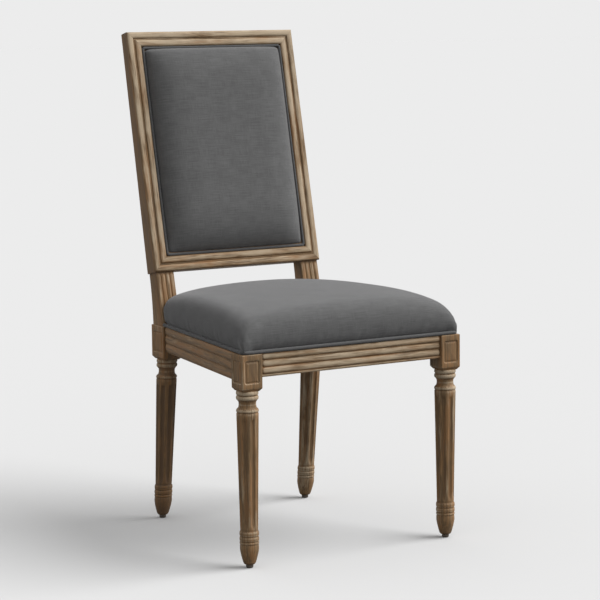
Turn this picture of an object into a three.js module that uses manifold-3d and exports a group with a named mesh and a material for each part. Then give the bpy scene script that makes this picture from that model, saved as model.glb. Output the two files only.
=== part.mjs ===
// A square-backed upholstered dining chair on turned and fluted legs.
// Lengths are in millimetres. The chair stands on z = 0 and its seat faces -Y.
// The pieces are drawn with y = 0 at the front faces of the front leg blocks,
// and the whole chair is then centred over the origin.

import * as THREE from 'three';
import { mergeVertices } from 'three/addons/utils/BufferGeometryUtils.js';
import Module from 'manifold-3d';

const wasm = await Module();
wasm.setup();

// Overall sizes
const overallHeight = 1000; // floor to the top edge of the crest rail
const frontWidth = 488; // across the outer faces of the front leg blocks
const rearWidth = 386; // across the outer faces of the rear leg blocks
const seatFrameDepth = 475; // front faces of the front blocks to rear faces of the rear blocks
const blockBottom = 344; // floor to the full-size part of the leg blocks
const blockTop = 408; // floor to the top of the leg blocks and seat rails

// Fits
const jointClearance = 0.3; // between neighbouring pieces
const mitreClearance = jointClearance * Math.SQRT1_2; // each side of a mitre
const cutOverrun = 6; // how far a cutter runs past the face that it cuts
const weld = 1; // how deep two bodies of one piece run into each other

// Leg blocks
const blockSize = 43; // width of every block, and depth of the front ones
const rearBlockDepth = 52;
const blockChamferDrop = 6; // height of the sloping underside
const blockChamferInset = 5; // how far the sloping underside draws in
const tabletSideMargin = 5; // plain wood beside the sunk tablet
const tabletTopMargin = 11;
const tabletBottomMargin = 9;
const tabletDepth = 2;
const tabletGroove = 5.5; // width of the groove round the tablet's raised field
const tabletFieldDepth = 0.5; // how far the raised field lies under the block's face

// Turned legs, as heights and radii from the floor end up
const legRadius = 21.3; // fattest radius, at the head of the shaft
const glideHeight = 10;
const rearRake = 35; // how far back the rear foot stands behind its block's centre
const turningSides = 24;
const fluteCount = 8;
const fluteDepth = 2.4;
const fluteRunIn = 12; // height over which a flute comes to its full depth
const fluteTop = 286; // floor to the upper ends of the flutes
const fluteBottom = 76; // floor to the lower ends of the flutes
const shaftTop = 299; // floor to where the shaft enters the turned head
const shaftShare = 0.985; // radius of the shaft, as a share of the turning that it enters
// Heights as shares of the turning's length, radii as shares of legRadius.
const headShares = [
  [1, 0.93], [0.996, 1], [0.984, 1], [0.977, 0.92],
  [0.97, 1], [0.957, 1], [0.949, 0.92], [0.935, 0.83], [0.922, 0.78],
  [0.908, 0.83], [0.9, 0.96], [0.892, 1], [0.882, 1], [0.878, 0.96],
];
const footShares = [
  [0.225, 0.805], [0.216, 0.805], [0.207, 0.87], [0.186, 0.87], [0.181, 0.83],
  [0.176, 0.87], [0.156, 0.87], [0.152, 0.83], [0.147, 0.865],
  [0.103, 0.865], [0.083, 0.82], [0.059, 0.73], [0.038, 0.65], [0.031, 0.58],
];
// Places across one flute's pitch, and how deep the flute is there.
const fluteShares = [[-0.29, 0], [-0.14, 1], [0.14, 1], [0.29, 0]];

// Foot glides
const glideRadius = 7.4;
const glidePinRadius = 1.5;
const glidePinLength = 14;
const glideSides = 16;
// A glide's outline from its tread up, as shares of its radius and of its height.
const glideShares = [[0.68, 0], [0.94, 0.15], [1, 0.5], [1, 1]];

// Seat rails
const railHeight = 44.5; // of the front and rear rails
const sideRailHeight = 51.5;
const railThickness = 25;
const railInset = 3; // the blocks stand this far proud of the rails
const reedCount = 3;
const reedRise = 3.4;
const reedGap = 1.6;
const reedSegments = 5;
const railFootHeight = 4.3; // the flat strip under the front rail's reeds
const sideRailFootHeight = 1.1;
const railFootRecess = 2; // how far that strip lies back
const tenonLength = 22;
const tenonThickness = 9;
const tenonHeight = 30;
const tenonInset = 8; // from the rail's outer face to the tenon
const rearRailChamfer = 2;

// Corner blocks and their screws
const cornerReach = 52; // length of a corner block along each rail
const cornerHeight = 30;
const cornerLift = 7; // above the underside of the rails
const screwHeadRadius = 4;
const screwHeadHeight = 2.6;
const screwShankRadius = 2;
const screwLength = 34;
const screwBite = 15; // how deep a screw goes into its rail
const screwPlaceShare = 0.38; // along the corner block, from its thin end
const screwSides = 12;
const screwRimShare = 0.3; // height of the head's straight rim
const screwTipShare = 0.2; // radius of the screw's tip

// Back frame, drawn in its own leaning plane
const backLeanDegrees = 12.7;
const backSideOverhang = 1.5; // how far the back frame's sides stand outside the rear blocks
const backSetIn = 27; // rear faces of the blocks to the back frame's front plane, at its lower edge
const backBottomZ = 518;
const stileWidth = 44.5;
const backTopThickness = 28;
const backBottomThickness = 38;
const mouldingWidth = 30.5;
const mouldingRise = 4.8;
const mouldingGroove = 2.8;
const mouldingGrooveDepth = 3.6;
const mouldingSegments = 6;
const frontRebateDepth = 9; // front plane to the ledge that the back pad sits on
const rearRebateDepth = 7;
const rearRebateMargin = 33; // plain wood left on the frame's back face
const backTenonThickness = 9;
const backTenonLength = 30;
const backTenonInset = 12; // front plane to the tenon
const backTenonMargin = 10; // from the frame's edge to the tenon
const backTenonWidth = 22;
const crestTenonMargin = 18; // from the crest rail's top edge to its tenon
const crestTenonWidth = 16;
const crestTenonWall = 9; // wood left outside the crest tenon's mortise

// Necks between the leg blocks and the back frame
const neckWidth = 40.5;
const neckSideInset = 2.5; // how far the neck lies inside the block's outer face
const neckFootInset = 3; // the same at the block's front and rear
const neckSetback = 0.5; // how far the neck lies behind the back frame's mouldings
const neckBendShare = 0.45; // where the neck's curve starts to turn
const neckSegments = 6;
const neckReeds = 4;
const neckGrooveWidth = 1.8;
const neckGrooveDepth = 2.2;
const neckGrooveStart = 4; // below the back frame
const neckRise = 24; // how far the neck runs up into the stile

// Seat webbing and hessian
const strapWidth = 50;
const strapThickness = 1.5;
const strapRamp = 12; // over which a strap climbs to cross another
const strapInset = 10; // from the rail's outer face to the strap's end
const straps = 4; // each way
const hessianThickness = 0.8;
const hessianInset = 20;

// Upholstery
const fabricThickness = 1.6;
const weltRadius = 2.5;
const weltSides = 8;
const weltInset = 3.5; // from the seat frame's faces to the middle of the welt
const weltBend = 9; // radius that the welt turns a corner on
const weltBendSteps = 4;
const seatWall = 54; // height of the seat's sides above the rails
const seatCrown = 35; // further rise to the middle of the seat
const backPadWall = 8;
const backPadCrown = 35;
const cornerPullShare = 0.03;
const padCells = 14;
const outsidePadCells = 8;
const edgePower = 11;
const edgeSoftness = 3.9;
const crownPower = 0.35;
const cornerPullPower = 12;
const cellCrowding = 2.1;
const backBoardThickness = 4;
const boardMargin = 8; // from a cover's inner face to the edge of the board behind it
const outsideBoardThickness = 3;
const outsidePadWall = 3;
const outsidePadCrown = 4;
const outsideWeltRadius = 2;
const dustCoverThickness = 0.8;
const dustCoverInset = 8; // from the front and rear rails' outer faces
const dustCoverGap = 0.6;

// Values that follow from the sizes above
const lean = THREE.MathUtils.degToRad(backLeanDegrees);
const railBottom = blockTop - railHeight;
const rearBlockFront = seatFrameDepth - rearBlockDepth;
const turningTop = blockBottom - blockChamferDrop;
const seatLayer = blockTop + jointClearance; // underside of what lies on the rails
const backHeight = (overallHeight - backBottomZ + mouldingRise * Math.sin(lean)) / Math.cos(lean);
const backHalf = rearWidth / 2 + backSideOverhang;
const backBottomY = seatFrameDepth - backSetIn;
const neckFront = mouldingRise + neckSetback; // depth of the neck's face behind the front plane
const overallDepth = backBottomY + backHeight * Math.sin(lean) + backTopThickness * Math.cos(lean);
const railTurn = Math.atan2((frontWidth - rearWidth) / 2, rearBlockFront - blockSize);
const up = new THREE.Vector3(0, 0, 1);
const across = new THREE.Vector3(1, 0, 0);
const backUp = new THREE.Vector3(0, Math.sin(lean), Math.cos(lean));
const backIn = new THREE.Vector3(0, Math.cos(lean), -Math.sin(lean));

// Turns a closed three.js geometry into a solid. Triangles that merging has closed up are dropped.
function solid(geometry) {
  const bare = geometry.clone();
  bare.deleteAttribute('normal');
  bare.deleteAttribute('uv');
  const merged = mergeVertices(bare);
  const corners = merged.index.array;
  const kept = [];
  for (let i = 0; i < corners.length; i += 3) {
    const [a, b, c] = [corners[i], corners[i + 1], corners[i + 2]];
    if (a !== b && b !== c && c !== a) {
      kept.push(a, b, c);
    }
  }
  const vertProperties = new Float32Array(merged.getAttribute('position').array);
  const made = new wasm.Mesh({ numProp: 3, vertProperties, triVerts: new Uint32Array(kept) });
  return new wasm.Manifold(made);
}

function geometryOf(body) {
  const made = body.getMesh();
  const geometry = new THREE.BufferGeometry();
  geometry.setAttribute('position', new THREE.BufferAttribute(made.vertProperties, 3));
  geometry.setIndex(new THREE.BufferAttribute(made.triVerts, 1));
  const flat = geometry.toNonIndexed();
  flat.computeVertexNormals();
  return flat;
}

function joined(first, ...others) {
  return others.reduce((whole, other) => whole.add(other), first);
}

function box(x0, x1, y0, y1, z0, z1) {
  const shape = new THREE.BoxGeometry(Math.abs(x1 - x0), Math.abs(y1 - y0), Math.abs(z1 - z0));
  shape.translate((x0 + x1) / 2, (y0 + y1) / 2, (z0 + z1) / 2);
  return solid(shape);
}

// Extrudes an outline of [x, y] pairs whose plane and start are given in the chair's space.
function prism(outline, length, origin, xWay, yWay) {
  const shape = new THREE.Shape(outline.map(([x, y]) => new THREE.Vector2(x, y)));
  const bar = new THREE.ExtrudeGeometry(shape, { depth: length, bevelEnabled: false });
  const along = new THREE.Vector3().crossVectors(xWay, yWay);
  const place = new THREE.Matrix4().makeBasis(xWay, yWay, along).setPosition(origin);
  return solid(bar.applyMatrix4(place));
}

// Skins a row of rings with equally many points, and closes its ends unless it runs round.
function loft(rings, runsRound = false) {
  const sides = rings[0].length;
  const points = rings.flat();
  const faces = [];
  const bands = runsRound ? rings.length : rings.length - 1;
  for (let band = 0; band < bands; band++) {
    for (let side = 0; side < sides; side++) {
      const a = band * sides + side;
      const b = band * sides + (side + 1) % sides;
      const c = ((band + 1) % rings.length) * sides + (side + 1) % sides;
      const d = ((band + 1) % rings.length) * sides + side;
      faces.push([a, b, c], [a, c, d]);
    }
  }
  if (!runsRound) {
    for (const [end, turn] of [[0, 1], [rings.length - 1, -1]]) {
      const middle = rings[end].reduce((sum, p) => sum.add(p), new THREE.Vector3());
      points.push(middle.divideScalar(sides));
      for (let side = 0; side < sides; side++) {
        const a = end * sides + side;
        const b = end * sides + (side + 1) % sides;
        faces.push(turn > 0 ? [b, a, points.length - 1] : [a, b, points.length - 1]);
      }
    }
  }
  return solid(facing(points, faces));
}

// Builds a geometry and turns it outwards if its faces point in.
function facing(points, faces) {
  const signed = faces.reduce((sum, [a, b, c]) => (
    sum + points[a].dot(new THREE.Vector3().crossVectors(points[b], points[c]))
  ), 0);
  const order = signed < 0 ? faces.map(([a, b, c]) => [a, c, b]) : faces;
  const geometry = new THREE.BufferGeometry().setFromPoints(points);
  geometry.setIndex(order.flat());
  return geometry;
}

function circle(radius, sides, centre, xWay = across, yWay = new THREE.Vector3(0, 1, 0)) {
  return Array.from({ length: sides }, (_, i) => {
    const angle = i / sides * 2 * Math.PI;
    return centre.clone()
      .addScaledVector(xWay, radius * Math.cos(angle))
      .addScaledVector(yWay, radius * Math.sin(angle));
  });
}

// A round bar along any direction, from radius and distance pairs.
function turnedBar(origin, way, stations, sides) {
  const side = new THREE.Vector3().crossVectors(way, Math.abs(way.z) > 0.5 ? across : up).normalize();
  const other = new THREE.Vector3().crossVectors(way, side);
  return loft(stations.map(([radius, distance]) => (
    circle(radius, sides, origin.clone().addScaledVector(way, distance), side, other)
  )));
}

// The arc of one bead over its chord, as [across, rise] pairs from one foot to the other.
function beadArc(start, width, rise, segments) {
  const radius = (width * width / 4 + rise * rise) / (2 * rise);
  const half = Math.asin(Math.min(1, width / 2 / radius));
  return Array.from({ length: segments + 1 }, (_, i) => {
    const angle = -half + 2 * half * i / segments;
    return [start + width / 2 + radius * Math.sin(angle), rise - radius * (1 - Math.cos(angle))];
  });
}

// Where the centre of a leg runs: straight down in front, raked back behind.
function legAxis(side, isRear) {
  const width = isRear ? rearWidth : frontWidth;
  const x = side * (width - blockSize) / 2;
  const y = isRear ? rearBlockFront + rearBlockDepth / 2 : blockSize / 2;
  const rake = isRear ? rearRake : 0;
  return (z) => new THREE.Vector3(x, y + rake * (1 - z / blockBottom), z);
}

function turnedPart(axis, shares) {
  const rings = shares.map(([heightShare, radiusShare]) => (
    circle(legRadius * radiusShare, turningSides, axis(turningTop * heightShare))
  ));
  return loft(rings);
}

function flutedShaft(axis) {
  const shaftBottom = turningTop * footShares[0][0] - weld;
  const topRadius = legRadius * shaftShare;
  const bottomRadius = legRadius * footShares[0][1] * shaftShare;
  const stations = [
    [shaftTop, 0], [fluteTop, 0], [fluteTop - fluteRunIn, 1],
    [fluteBottom + fluteRunIn, 1], [fluteBottom, 0], [shaftBottom, 0],
  ];
  const pitch = 2 * Math.PI / fluteCount;
  const rings = stations.map(([z, depthShare]) => {
    const radius = THREE.MathUtils.mapLinear(z, shaftBottom, shaftTop, bottomRadius, topRadius);
    const centre = axis(z);
    const ring = [];
    for (let flute = 0; flute < fluteCount; flute++) {
      for (const [placeShare, cutShare] of fluteShares) {
        const angle = (flute + placeShare) * pitch - Math.PI / 2;
        const reach = radius - fluteDepth * cutShare * depthShare;
        ring.push(new THREE.Vector3(
          centre.x + reach * Math.cos(angle), centre.y + reach * Math.sin(angle), z,
        ));
      }
    }
    return ring;
  });
  return loft(rings);
}

// A leg block with its sloping underside.
function legBlock(side, isRear) {
  const width = isRear ? rearWidth : frontWidth;
  const y0 = isRear ? rearBlockFront : 0;
  const y1 = isRear ? seatFrameDepth : blockSize;
  const outer = side * width / 2;
  const inner = side * (width / 2 - blockSize);
  const inset = blockChamferInset;
  const square = (z, draw) => [
    new THREE.Vector3(outer - side * draw, y0 + draw, z),
    new THREE.Vector3(inner + side * draw, y0 + draw, z),
    new THREE.Vector3(inner + side * draw, y1 - draw, z),
    new THREE.Vector3(outer - side * draw, y1 - draw, z),
  ];
  return loft([square(blockTop, 0), square(blockBottom, 0), square(turningTop - weld, inset)]);
}

// The sunk tablet with its raised field on one face of a block.
function tablet(body, faceStart, faceWidth, way, out) {
  const low = blockBottom + tabletBottomMargin;
  const high = blockTop - tabletTopMargin;
  const rectangle = (margin) => [
    [tabletSideMargin + margin, low + margin], [faceWidth - tabletSideMargin - margin, low + margin],
    [faceWidth - tabletSideMargin - margin, high - margin], [tabletSideMargin + margin, high - margin],
  ];
  const slab = (margin, from, to) => {
    const start = faceStart.clone().addScaledVector(out, from);
    return prism(rectangle(margin), to - from, start, way, up);
  };
  return body
    .subtract(slab(0, -tabletDepth, cutOverrun))
    .add(slab(tabletGroove, -tabletDepth - weld, -tabletFieldDepth));
}

function glideBore(axis) {
  const foot = axis(glideHeight);
  const radius = glidePinRadius + jointClearance;
  return turnedBar(foot, up, [[radius, -cutOverrun], [radius, glidePinLength + weld]], screwSides);
}

// The chair's plan at the seat: half its width at a distance behind the front blocks' faces.
function seatHalf(y) {
  return THREE.MathUtils.mapLinear(y, 0, rearBlockFront, frontWidth / 2, rearWidth / 2);
}

// Local frame of a side rail: x inwards from the outer face, y up, z along the rail.
function sideRailFrame(side) {
  const inward = new THREE.Vector3(-side * Math.cos(railTurn), -Math.sin(railTurn), 0);
  const z = blockTop - sideRailHeight;
  const front = new THREE.Vector3(side * (frontWidth / 2 - railInset), blockSize, z);
  const rear = new THREE.Vector3(side * (rearWidth / 2 - railInset), rearBlockFront, z);
  const start = side > 0 ? front : rear;
  const end = side > 0 ? rear : front;
  const way = end.clone().sub(start);
  return { inward, start, length: way.length(), height: sideRailHeight };
}

// The moulded section of a seat rail, x inwards from the outer face and y up from its underside.
function railSection(height, footHeight) {
  const outline = [[railThickness, 0], [railThickness, height], [reedRise, height]];
  const pitch = (height - footHeight) / reedCount;
  for (let reed = 0; reed < reedCount; reed++) {
    for (const [drop, rise] of beadArc(0, pitch - reedGap, reedRise, reedSegments)) {
      outline.push([reedRise - rise, height - reed * pitch - drop]);
    }
  }
  outline.push([reedRise, footHeight], [railFootRecess, footHeight], [railFootRecess, 0]);
  return outline;
}

const tenonSection = (height, grow) => {
  const low = (height - tenonHeight) / 2 - grow;
  const high = (height + tenonHeight) / 2 + grow;
  const near = tenonInset - grow;
  const far = tenonInset + tenonThickness + grow;
  return [[near, low], [far, low], [far, high], [near, high]];
};

// Front and rear rails run across, between the inner faces of their blocks.
function crossRailFrame(isRear) {
  const half = (isRear ? rearWidth : frontWidth) / 2 - blockSize;
  const y = isRear ? seatFrameDepth - railInset : railInset;
  const inward = new THREE.Vector3(0, isRear ? -1 : 1, 0);
  const startX = isRear ? half : -half;
  return { inward, start: new THREE.Vector3(startX, y, railBottom), length: 2 * half, height: railHeight };
}

function alongRail(frame, section, from, to) {
  const way = new THREE.Vector3().crossVectors(frame.inward, up);
  const start = frame.start.clone().addScaledVector(way, from);
  return prism(section, to - from, start, frame.inward, up);
}

// A rail's tenons, or with a clearance the mortises that take them.
function railTenons(frame, grow) {
  const reach = tenonLength + (grow > 0 ? jointClearance : 0);
  return alongRail(frame, tenonSection(frame.height, grow), -reach, frame.length + reach);
}

function crossRail(isRear) {
  const frame = crossRailFrame(isRear);
  const c = rearRailChamfer;
  const plain = [
    [c, 0], [railThickness, 0], [railThickness, railHeight],
    [c, railHeight], [0, railHeight - c], [0, c],
  ];
  const section = isRear ? plain : railSection(railHeight, railFootHeight);
  return alongRail(frame, section, jointClearance, frame.length - jointClearance)
    .add(railTenons(frame, 0));
}

function sideRail(side) {
  const frame = sideRailFrame(side);
  const section = railSection(sideRailHeight, sideRailFootHeight);
  const body = alongRail(frame, section, -railThickness, frame.length + railThickness);
  const between = box(
    0, side * frontWidth, blockSize + jointClearance, rearBlockFront - jointClearance,
    blockBottom, blockTop + cutOverrun,
  );
  return body.intersect(between).add(railTenons(frame, 0));
}

function mortises(side, isRear) {
  const cross = railTenons(crossRailFrame(isRear), jointClearance);
  return cross.add(railTenons(sideRailFrame(side), jointClearance));
}

// A front leg: block, turned head and foot, and fluted shaft.
function frontLeg(side) {
  const axis = legAxis(side, false);
  const outer = side * frontWidth / 2;
  const start = new THREE.Vector3(side > 0 ? outer - blockSize : outer, 0, 0);
  const back = new THREE.Vector3(0, 1, 0);
  let body = joined(
    legBlock(side, false), turnedPart(axis, headShares), flutedShaft(axis), turnedPart(axis, footShares),
  );
  body = tablet(body, start, blockSize, across, back.clone().negate());
  body = sideTablet(body, side, outer, 0, blockSize);
  return body.subtract(mortises(side, false)).subtract(glideBore(axis));
}

function sideTablet(body, side, outer, y0, width) {
  const out = across.clone().multiplyScalar(side);
  const way = new THREE.Vector3(0, side, 0);
  const start = new THREE.Vector3(outer, side > 0 ? y0 : y0 + width, 0);
  return tablet(body, start, width, way, out);
}

// A point of the back frame's plane: height along it, and depth behind its front plane.
function backPoint(height, depth, x = 0) {
  return new THREE.Vector3(x, backBottomY, backBottomZ)
    .addScaledVector(backUp, height)
    .addScaledVector(backIn, depth);
}

// A slab in the back frame's plane from an outline of [across, height] pairs.
function backSlab(outline, frontDepth, rearDepth) {
  return prism(outline, rearDepth - frontDepth, backPoint(0, rearDepth), across, backUp);
}

// Depth of the back frame's rear face at a height along it.
function backDepth(height) {
  return THREE.MathUtils.mapLinear(height, 0, backHeight, backBottomThickness, backTopThickness);
}

// A bar across the chair whose section is given as [height, depth] pairs in the back frame.
function acrossBack(section, halfWidth) {
  const outline = section.map(([height, depth]) => [height, depth]);
  return prism(outline, 2 * halfWidth, backPoint(0, 0, halfWidth), backUp, backIn);
}

function rectangle(x0, x1, y0, y1) {
  return [[x0, y0], [x1, y0], [x1, y1], [x0, y1]];
}

// What is cut from every member of the back frame: the two rebates and the waste behind.
function backCutters() {
  const inner = backHalf - mouldingWidth;
  const front = backSlab(
    rectangle(-inner, inner, mouldingWidth, backHeight - mouldingWidth),
    -cutOverrun, frontRebateDepth,
  );
  const low = rearRebateMargin;
  const high = backHeight - rearRebateMargin;
  const far = backBottomThickness + cutOverrun;
  const rear = acrossBack([
    [low, backDepth(low) - rearRebateDepth], [high, backDepth(high) - rearRebateDepth],
    [high, far], [low, far],
  ], backHalf - rearRebateMargin);
  const waste = acrossBack([
    [-cutOverrun, backDepth(-cutOverrun)], [backHeight + cutOverrun, backDepth(backHeight + cutOverrun)],
    [backHeight + cutOverrun, far], [-cutOverrun, far],
  ], backHalf + cutOverrun);
  return joined(front, rear, waste);
}

// The double bead and groove along the face of the back frame, s in from the outer edge.
function mouldingLine() {
  const bead = (mouldingWidth - mouldingGroove) / 2;
  const flip = ([s, rise]) => [s, mouldingRise - rise];
  const grooveDepth = mouldingGrooveDepth;
  return [
    ...beadArc(0, bead, mouldingRise, mouldingSegments).map(flip).slice(0, -1),
    [bead, grooveDepth], [bead + mouldingGroove, grooveDepth],
    ...beadArc(bead + mouldingGroove, bead, mouldingRise, mouldingSegments).map(flip).slice(1),
  ];
}

// A moulded strip with s across the strip and its depth behind the front plane.
function mouldedStrip(edgeWidth, depth, length, origin, edgeWay) {
  const outline = [...mouldingLine(), [edgeWidth, mouldingRise], [edgeWidth, depth], [0, depth]];
  return prism(outline, length, origin, edgeWay, backIn);
}

const crestOutline = () => {
  const g = mitreClearance;
  const long = backHalf - g;
  const short = long - stileWidth;
  const low = backHeight - stileWidth;
  return [[long, backHeight], [-long, backHeight], [-short, low], [short, low]];
};

// The crest rail's tenons point outwards into the stiles.
function crestTenons(grow) {
  const reach = backHalf - crestTenonWall + grow;
  const top = backHeight - crestTenonMargin;
  return backSlab(
    rectangle(-reach, reach, top - crestTenonWidth - grow, top + grow),
    backTenonInset - grow, backTenonInset + backTenonThickness + grow,
  );
}

function crestRail() {
  const start = backPoint(backHeight, 0, -backHalf);
  const strip = mouldedStrip(
    stileWidth, backBottomThickness, 2 * backHalf, start, backUp.clone().negate(),
  );
  const mitred = strip.intersect(backSlab(crestOutline(), -cutOverrun, backBottomThickness + cutOverrun));
  return mitred.subtract(backCutters()).add(crestTenons(0));
}

function lowerTenons(grow) {
  const reach = backHalf - stileWidth + backTenonLength + grow;
  return backSlab(
    rectangle(-reach, reach, backTenonMargin - grow, backTenonMargin + backTenonWidth + grow),
    backTenonInset - grow, backTenonInset + backTenonThickness + grow,
  );
}

// The lower rail's moulding laps over the stiles as far as the mitre.
function lowerBackRail() {
  const g = mitreClearance;
  const shoulder = backHalf - stileWidth - jointClearance;
  const start = backPoint(0, 0, backHalf);
  const strip = mouldedStrip(stileWidth, backBottomThickness + weld, 2 * backHalf, start, backUp);
  const body = backSlab(
    rectangle(-shoulder, shoulder, -cutOverrun, stileWidth + cutOverrun),
    -cutOverrun, backBottomThickness + cutOverrun,
  );
  const lap = backSlab([
    [g - backHalf, 0], [backHalf - g, 0],
    [backHalf - mouldingWidth - g, mouldingWidth], [mouldingWidth + g - backHalf, mouldingWidth],
  ], -cutOverrun, neckFront - jointClearance);
  return strip.intersect(body.add(lap)).subtract(backCutters()).add(lowerTenons(0));
}

// Side views of the neck's front and rear faces, from the back frame down to the block.
function neckLine(depth, footY, shift) {
  const top = backPoint(0, depth);
  const bend = backPoint(-(backBottomZ - blockTop) * neckBendShare, depth);
  const curve = new THREE.QuadraticBezierCurve(
    new THREE.Vector2(top.y, top.z), new THREE.Vector2(bend.y, bend.z), new THREE.Vector2(footY, blockTop),
  );
  return curve.getPoints(neckSegments).map((p) => [p.x + shift, p.y]);
}

const neckFrontLine = (shift) => neckLine(neckFront, rearBlockFront + neckFootInset, shift);
const neckRearLine = () => neckLine(backBottomThickness, seatFrameDepth - neckFootInset, 0);

// Extrudes a side view, given as [y, z] pairs, between two places across the chair.
function sideView(outline, x0, x1) {
  const start = new THREE.Vector3(Math.min(x0, x1), 0, 0);
  return prism(outline, Math.abs(x1 - x0), start, new THREE.Vector3(0, 1, 0), up);
}

function neck(side) {
  const outer = side * (rearWidth / 2 - neckSideInset);
  const inner = outer - side * neckWidth;
  const front = neckFrontLine(0);
  const rear = neckRearLine();
  const topFront = backPoint(neckRise, neckFront);
  const topRear = backPoint(neckRise, backDepth(neckRise) - weld);
  const outline = [
    [topFront.y, topFront.z], ...front, [front.at(-1)[0], blockTop - weld],
    [rear.at(-1)[0], blockTop - weld], ...rear.slice(1).reverse(), [topRear.y, topRear.z],
  ];
  let body = sideView(outline, outer, inner);
  for (let groove = 1; groove < neckReeds; groove++) {
    const middle = outer - side * neckWidth * groove / neckReeds;
    body = body.subtract(neckGroove(middle));
  }
  return body;
}

function neckGroove(middle) {
  const outside = neckFrontLine(-cutOverrun).slice(1);
  const inside = neckFrontLine(neckGrooveDepth).slice(1);
  const start = backPoint(-neckGrooveStart, neckFront);
  const outline = [
    [start.y - cutOverrun, start.z], ...outside, ...inside.reverse(), [start.y + neckGrooveDepth, start.z],
  ];
  return sideView(outline, middle - neckGrooveWidth / 2, middle + neckGrooveWidth / 2);
}

// A rear stile: its plain core, and the moulding between its two mitres.
function stile(side) {
  const outer = side * backHalf;
  const inner = side * (backHalf - stileWidth);
  const g = mitreClearance;
  const core = backSlab(
    rectangle(Math.min(outer, inner), Math.max(outer, inner), 0, backHeight),
    neckFront, backBottomThickness + weld,
  );
  const strip = mouldedStrip(
    mouldingWidth, neckFront + weld, backHeight, backPoint(side > 0 ? backHeight : 0, 0, outer),
    across.clone().multiplyScalar(-side),
  );
  const faceInner = side * (backHalf - mouldingWidth);
  const face = backSlab(facingUp([
    [outer, g], [outer, backHeight], [faceInner, backHeight], [faceInner, mouldingWidth + g],
  ]), -cutOverrun, backBottomThickness);
  const crestRoom = backSlab(facingUp([
    [outer + side * cutOverrun, backHeight + cutOverrun - g],
    [outer + side * cutOverrun, backHeight + stileWidth],
    [inner - side * cutOverrun, backHeight + stileWidth],
    [inner - side * cutOverrun, backHeight - stileWidth - cutOverrun - g],
  ]), -cutOverrun, backBottomThickness + cutOverrun);
  return core.add(strip.intersect(face))
    .subtract(crestRoom)
    .subtract(backCutters())
    .subtract(crestTenons(jointClearance));
}

// Puts an outline's points in the order that makes its prism face outwards.
function facingUp(outline) {
  const area = outline.reduce((sum, [x, y], i) => {
    const [nextX, nextY] = outline[(i + 1) % outline.length];
    return sum + x * nextY - nextX * y;
  }, 0);
  return area < 0 ? outline.slice().reverse() : outline;
}

// A rear leg runs in one piece from the floor to the crest rail.
function rearLeg(side) {
  const axis = legAxis(side, true);
  const outer = side * rearWidth / 2;
  let body = joined(
    legBlock(side, true), turnedPart(axis, headShares), flutedShaft(axis), turnedPart(axis, footShares),
    neck(side), stile(side),
  );
  body = sideTablet(body, side, outer, rearBlockFront, rearBlockDepth);
  return body
    .subtract(mortises(side, true))
    .subtract(lowerTenons(jointClearance))
    .subtract(glideBore(axis));
}

function glide(side, isRear) {
  const foot = legAxis(side, isRear)(glideHeight);
  const rest = new THREE.Vector3(foot.x, foot.y, 0);
  const cap = glideHeight - jointClearance;
  const stations = [
    ...glideShares.map(([radiusShare, heightShare]) => [glideRadius * radiusShare, cap * heightShare]),
    [glidePinRadius, cap], [glidePinRadius, glideHeight + glidePinLength],
  ];
  return turnedBar(rest, up, stations, glideSides);
}

// The side rail's inner face at a distance behind the front blocks' faces.
function railInner(y) {
  const outerLine = THREE.MathUtils.mapLinear(
    y, blockSize, rearBlockFront, frontWidth / 2 - railInset, rearWidth / 2 - railInset,
  );
  return outerLine - railThickness / Math.cos(railTurn);
}

// Plan of a corner block, fitted round the inner corner of its leg block.
function cornerPlan(side, isRear) {
  const g = jointClearance;
  const legInner = (isRear ? rearWidth : frontWidth) / 2 - blockSize - g;
  const railFace = isRear ? seatFrameDepth - railInset - railThickness - g : railInset + railThickness + g;
  const legFace = isRear ? rearBlockFront - g : blockSize + g;
  const far = isRear ? legFace - cornerReach : legFace + cornerReach;
  return [
    [legInner - cornerReach, railFace], [legInner, railFace], [legInner, legFace],
    [railInner(legFace) - g, legFace], [railInner(far) - g, far],
  ].map(([x, y]) => [side * x, y]);
}

// Each corner block takes one screw into the cross rail and one into the side rail.
function cornerScrews(side, isRear) {
  const plan = cornerPlan(side, isRear);
  const [thinCross, , , , thinSide] = plan.map(([x, y]) => new THREE.Vector3(x, y, 0));
  const height = railBottom + cornerLift + cornerHeight / 2;
  const start = (corner, towards, way) => {
    const legCorner = new THREE.Vector3(...plan[towards], 0);
    const place = corner.clone().lerp(legCorner, screwPlaceShare);
    const away = screwLength - screwBite;
    return place.setZ(height).addScaledVector(way, -away);
  };
  const crossWay = new THREE.Vector3(0, isRear ? 1 : -1, 0);
  const sideWay = new THREE.Vector3(side * Math.cos(railTurn), Math.sin(railTurn), 0);
  return [
    { head: start(thinCross, 1, crossWay), way: crossWay },
    { head: start(thinSide, 3, sideWay), way: sideWay },
  ];
}

function screw({ head, way }) {
  const stations = [
    [screwHeadRadius, 0], [screwHeadRadius, screwHeadHeight * screwRimShare],
    [screwShankRadius, screwHeadHeight], [screwShankRadius, screwLength - screwHeadHeight],
    [screwShankRadius * screwTipShare, screwLength],
  ];
  return turnedBar(head, way, stations, screwSides);
}

// The hole for a screw: a pocket behind its head, then a bore past its tip.
function screwHole({ head, way }) {
  const grow = jointClearance;
  const stations = [
    [screwHeadRadius + grow, -cornerReach], [screwHeadRadius + grow, screwHeadHeight + grow],
    [screwShankRadius + grow, screwHeadHeight + grow], [screwShankRadius + grow, screwLength + grow],
  ];
  return turnedBar(head, way, stations, screwSides);
}

function cornerBlock(side, isRear) {
  const plan = facingUp(cornerPlan(side, isRear));
  const start = new THREE.Vector3(0, 0, railBottom + cornerLift);
  const body = prism(plan, cornerHeight, start, across, new THREE.Vector3(0, 1, 0));
  return cornerScrews(side, isRear).reduce((rest, each) => rest.subtract(screwHole(each)), body);
}

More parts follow.
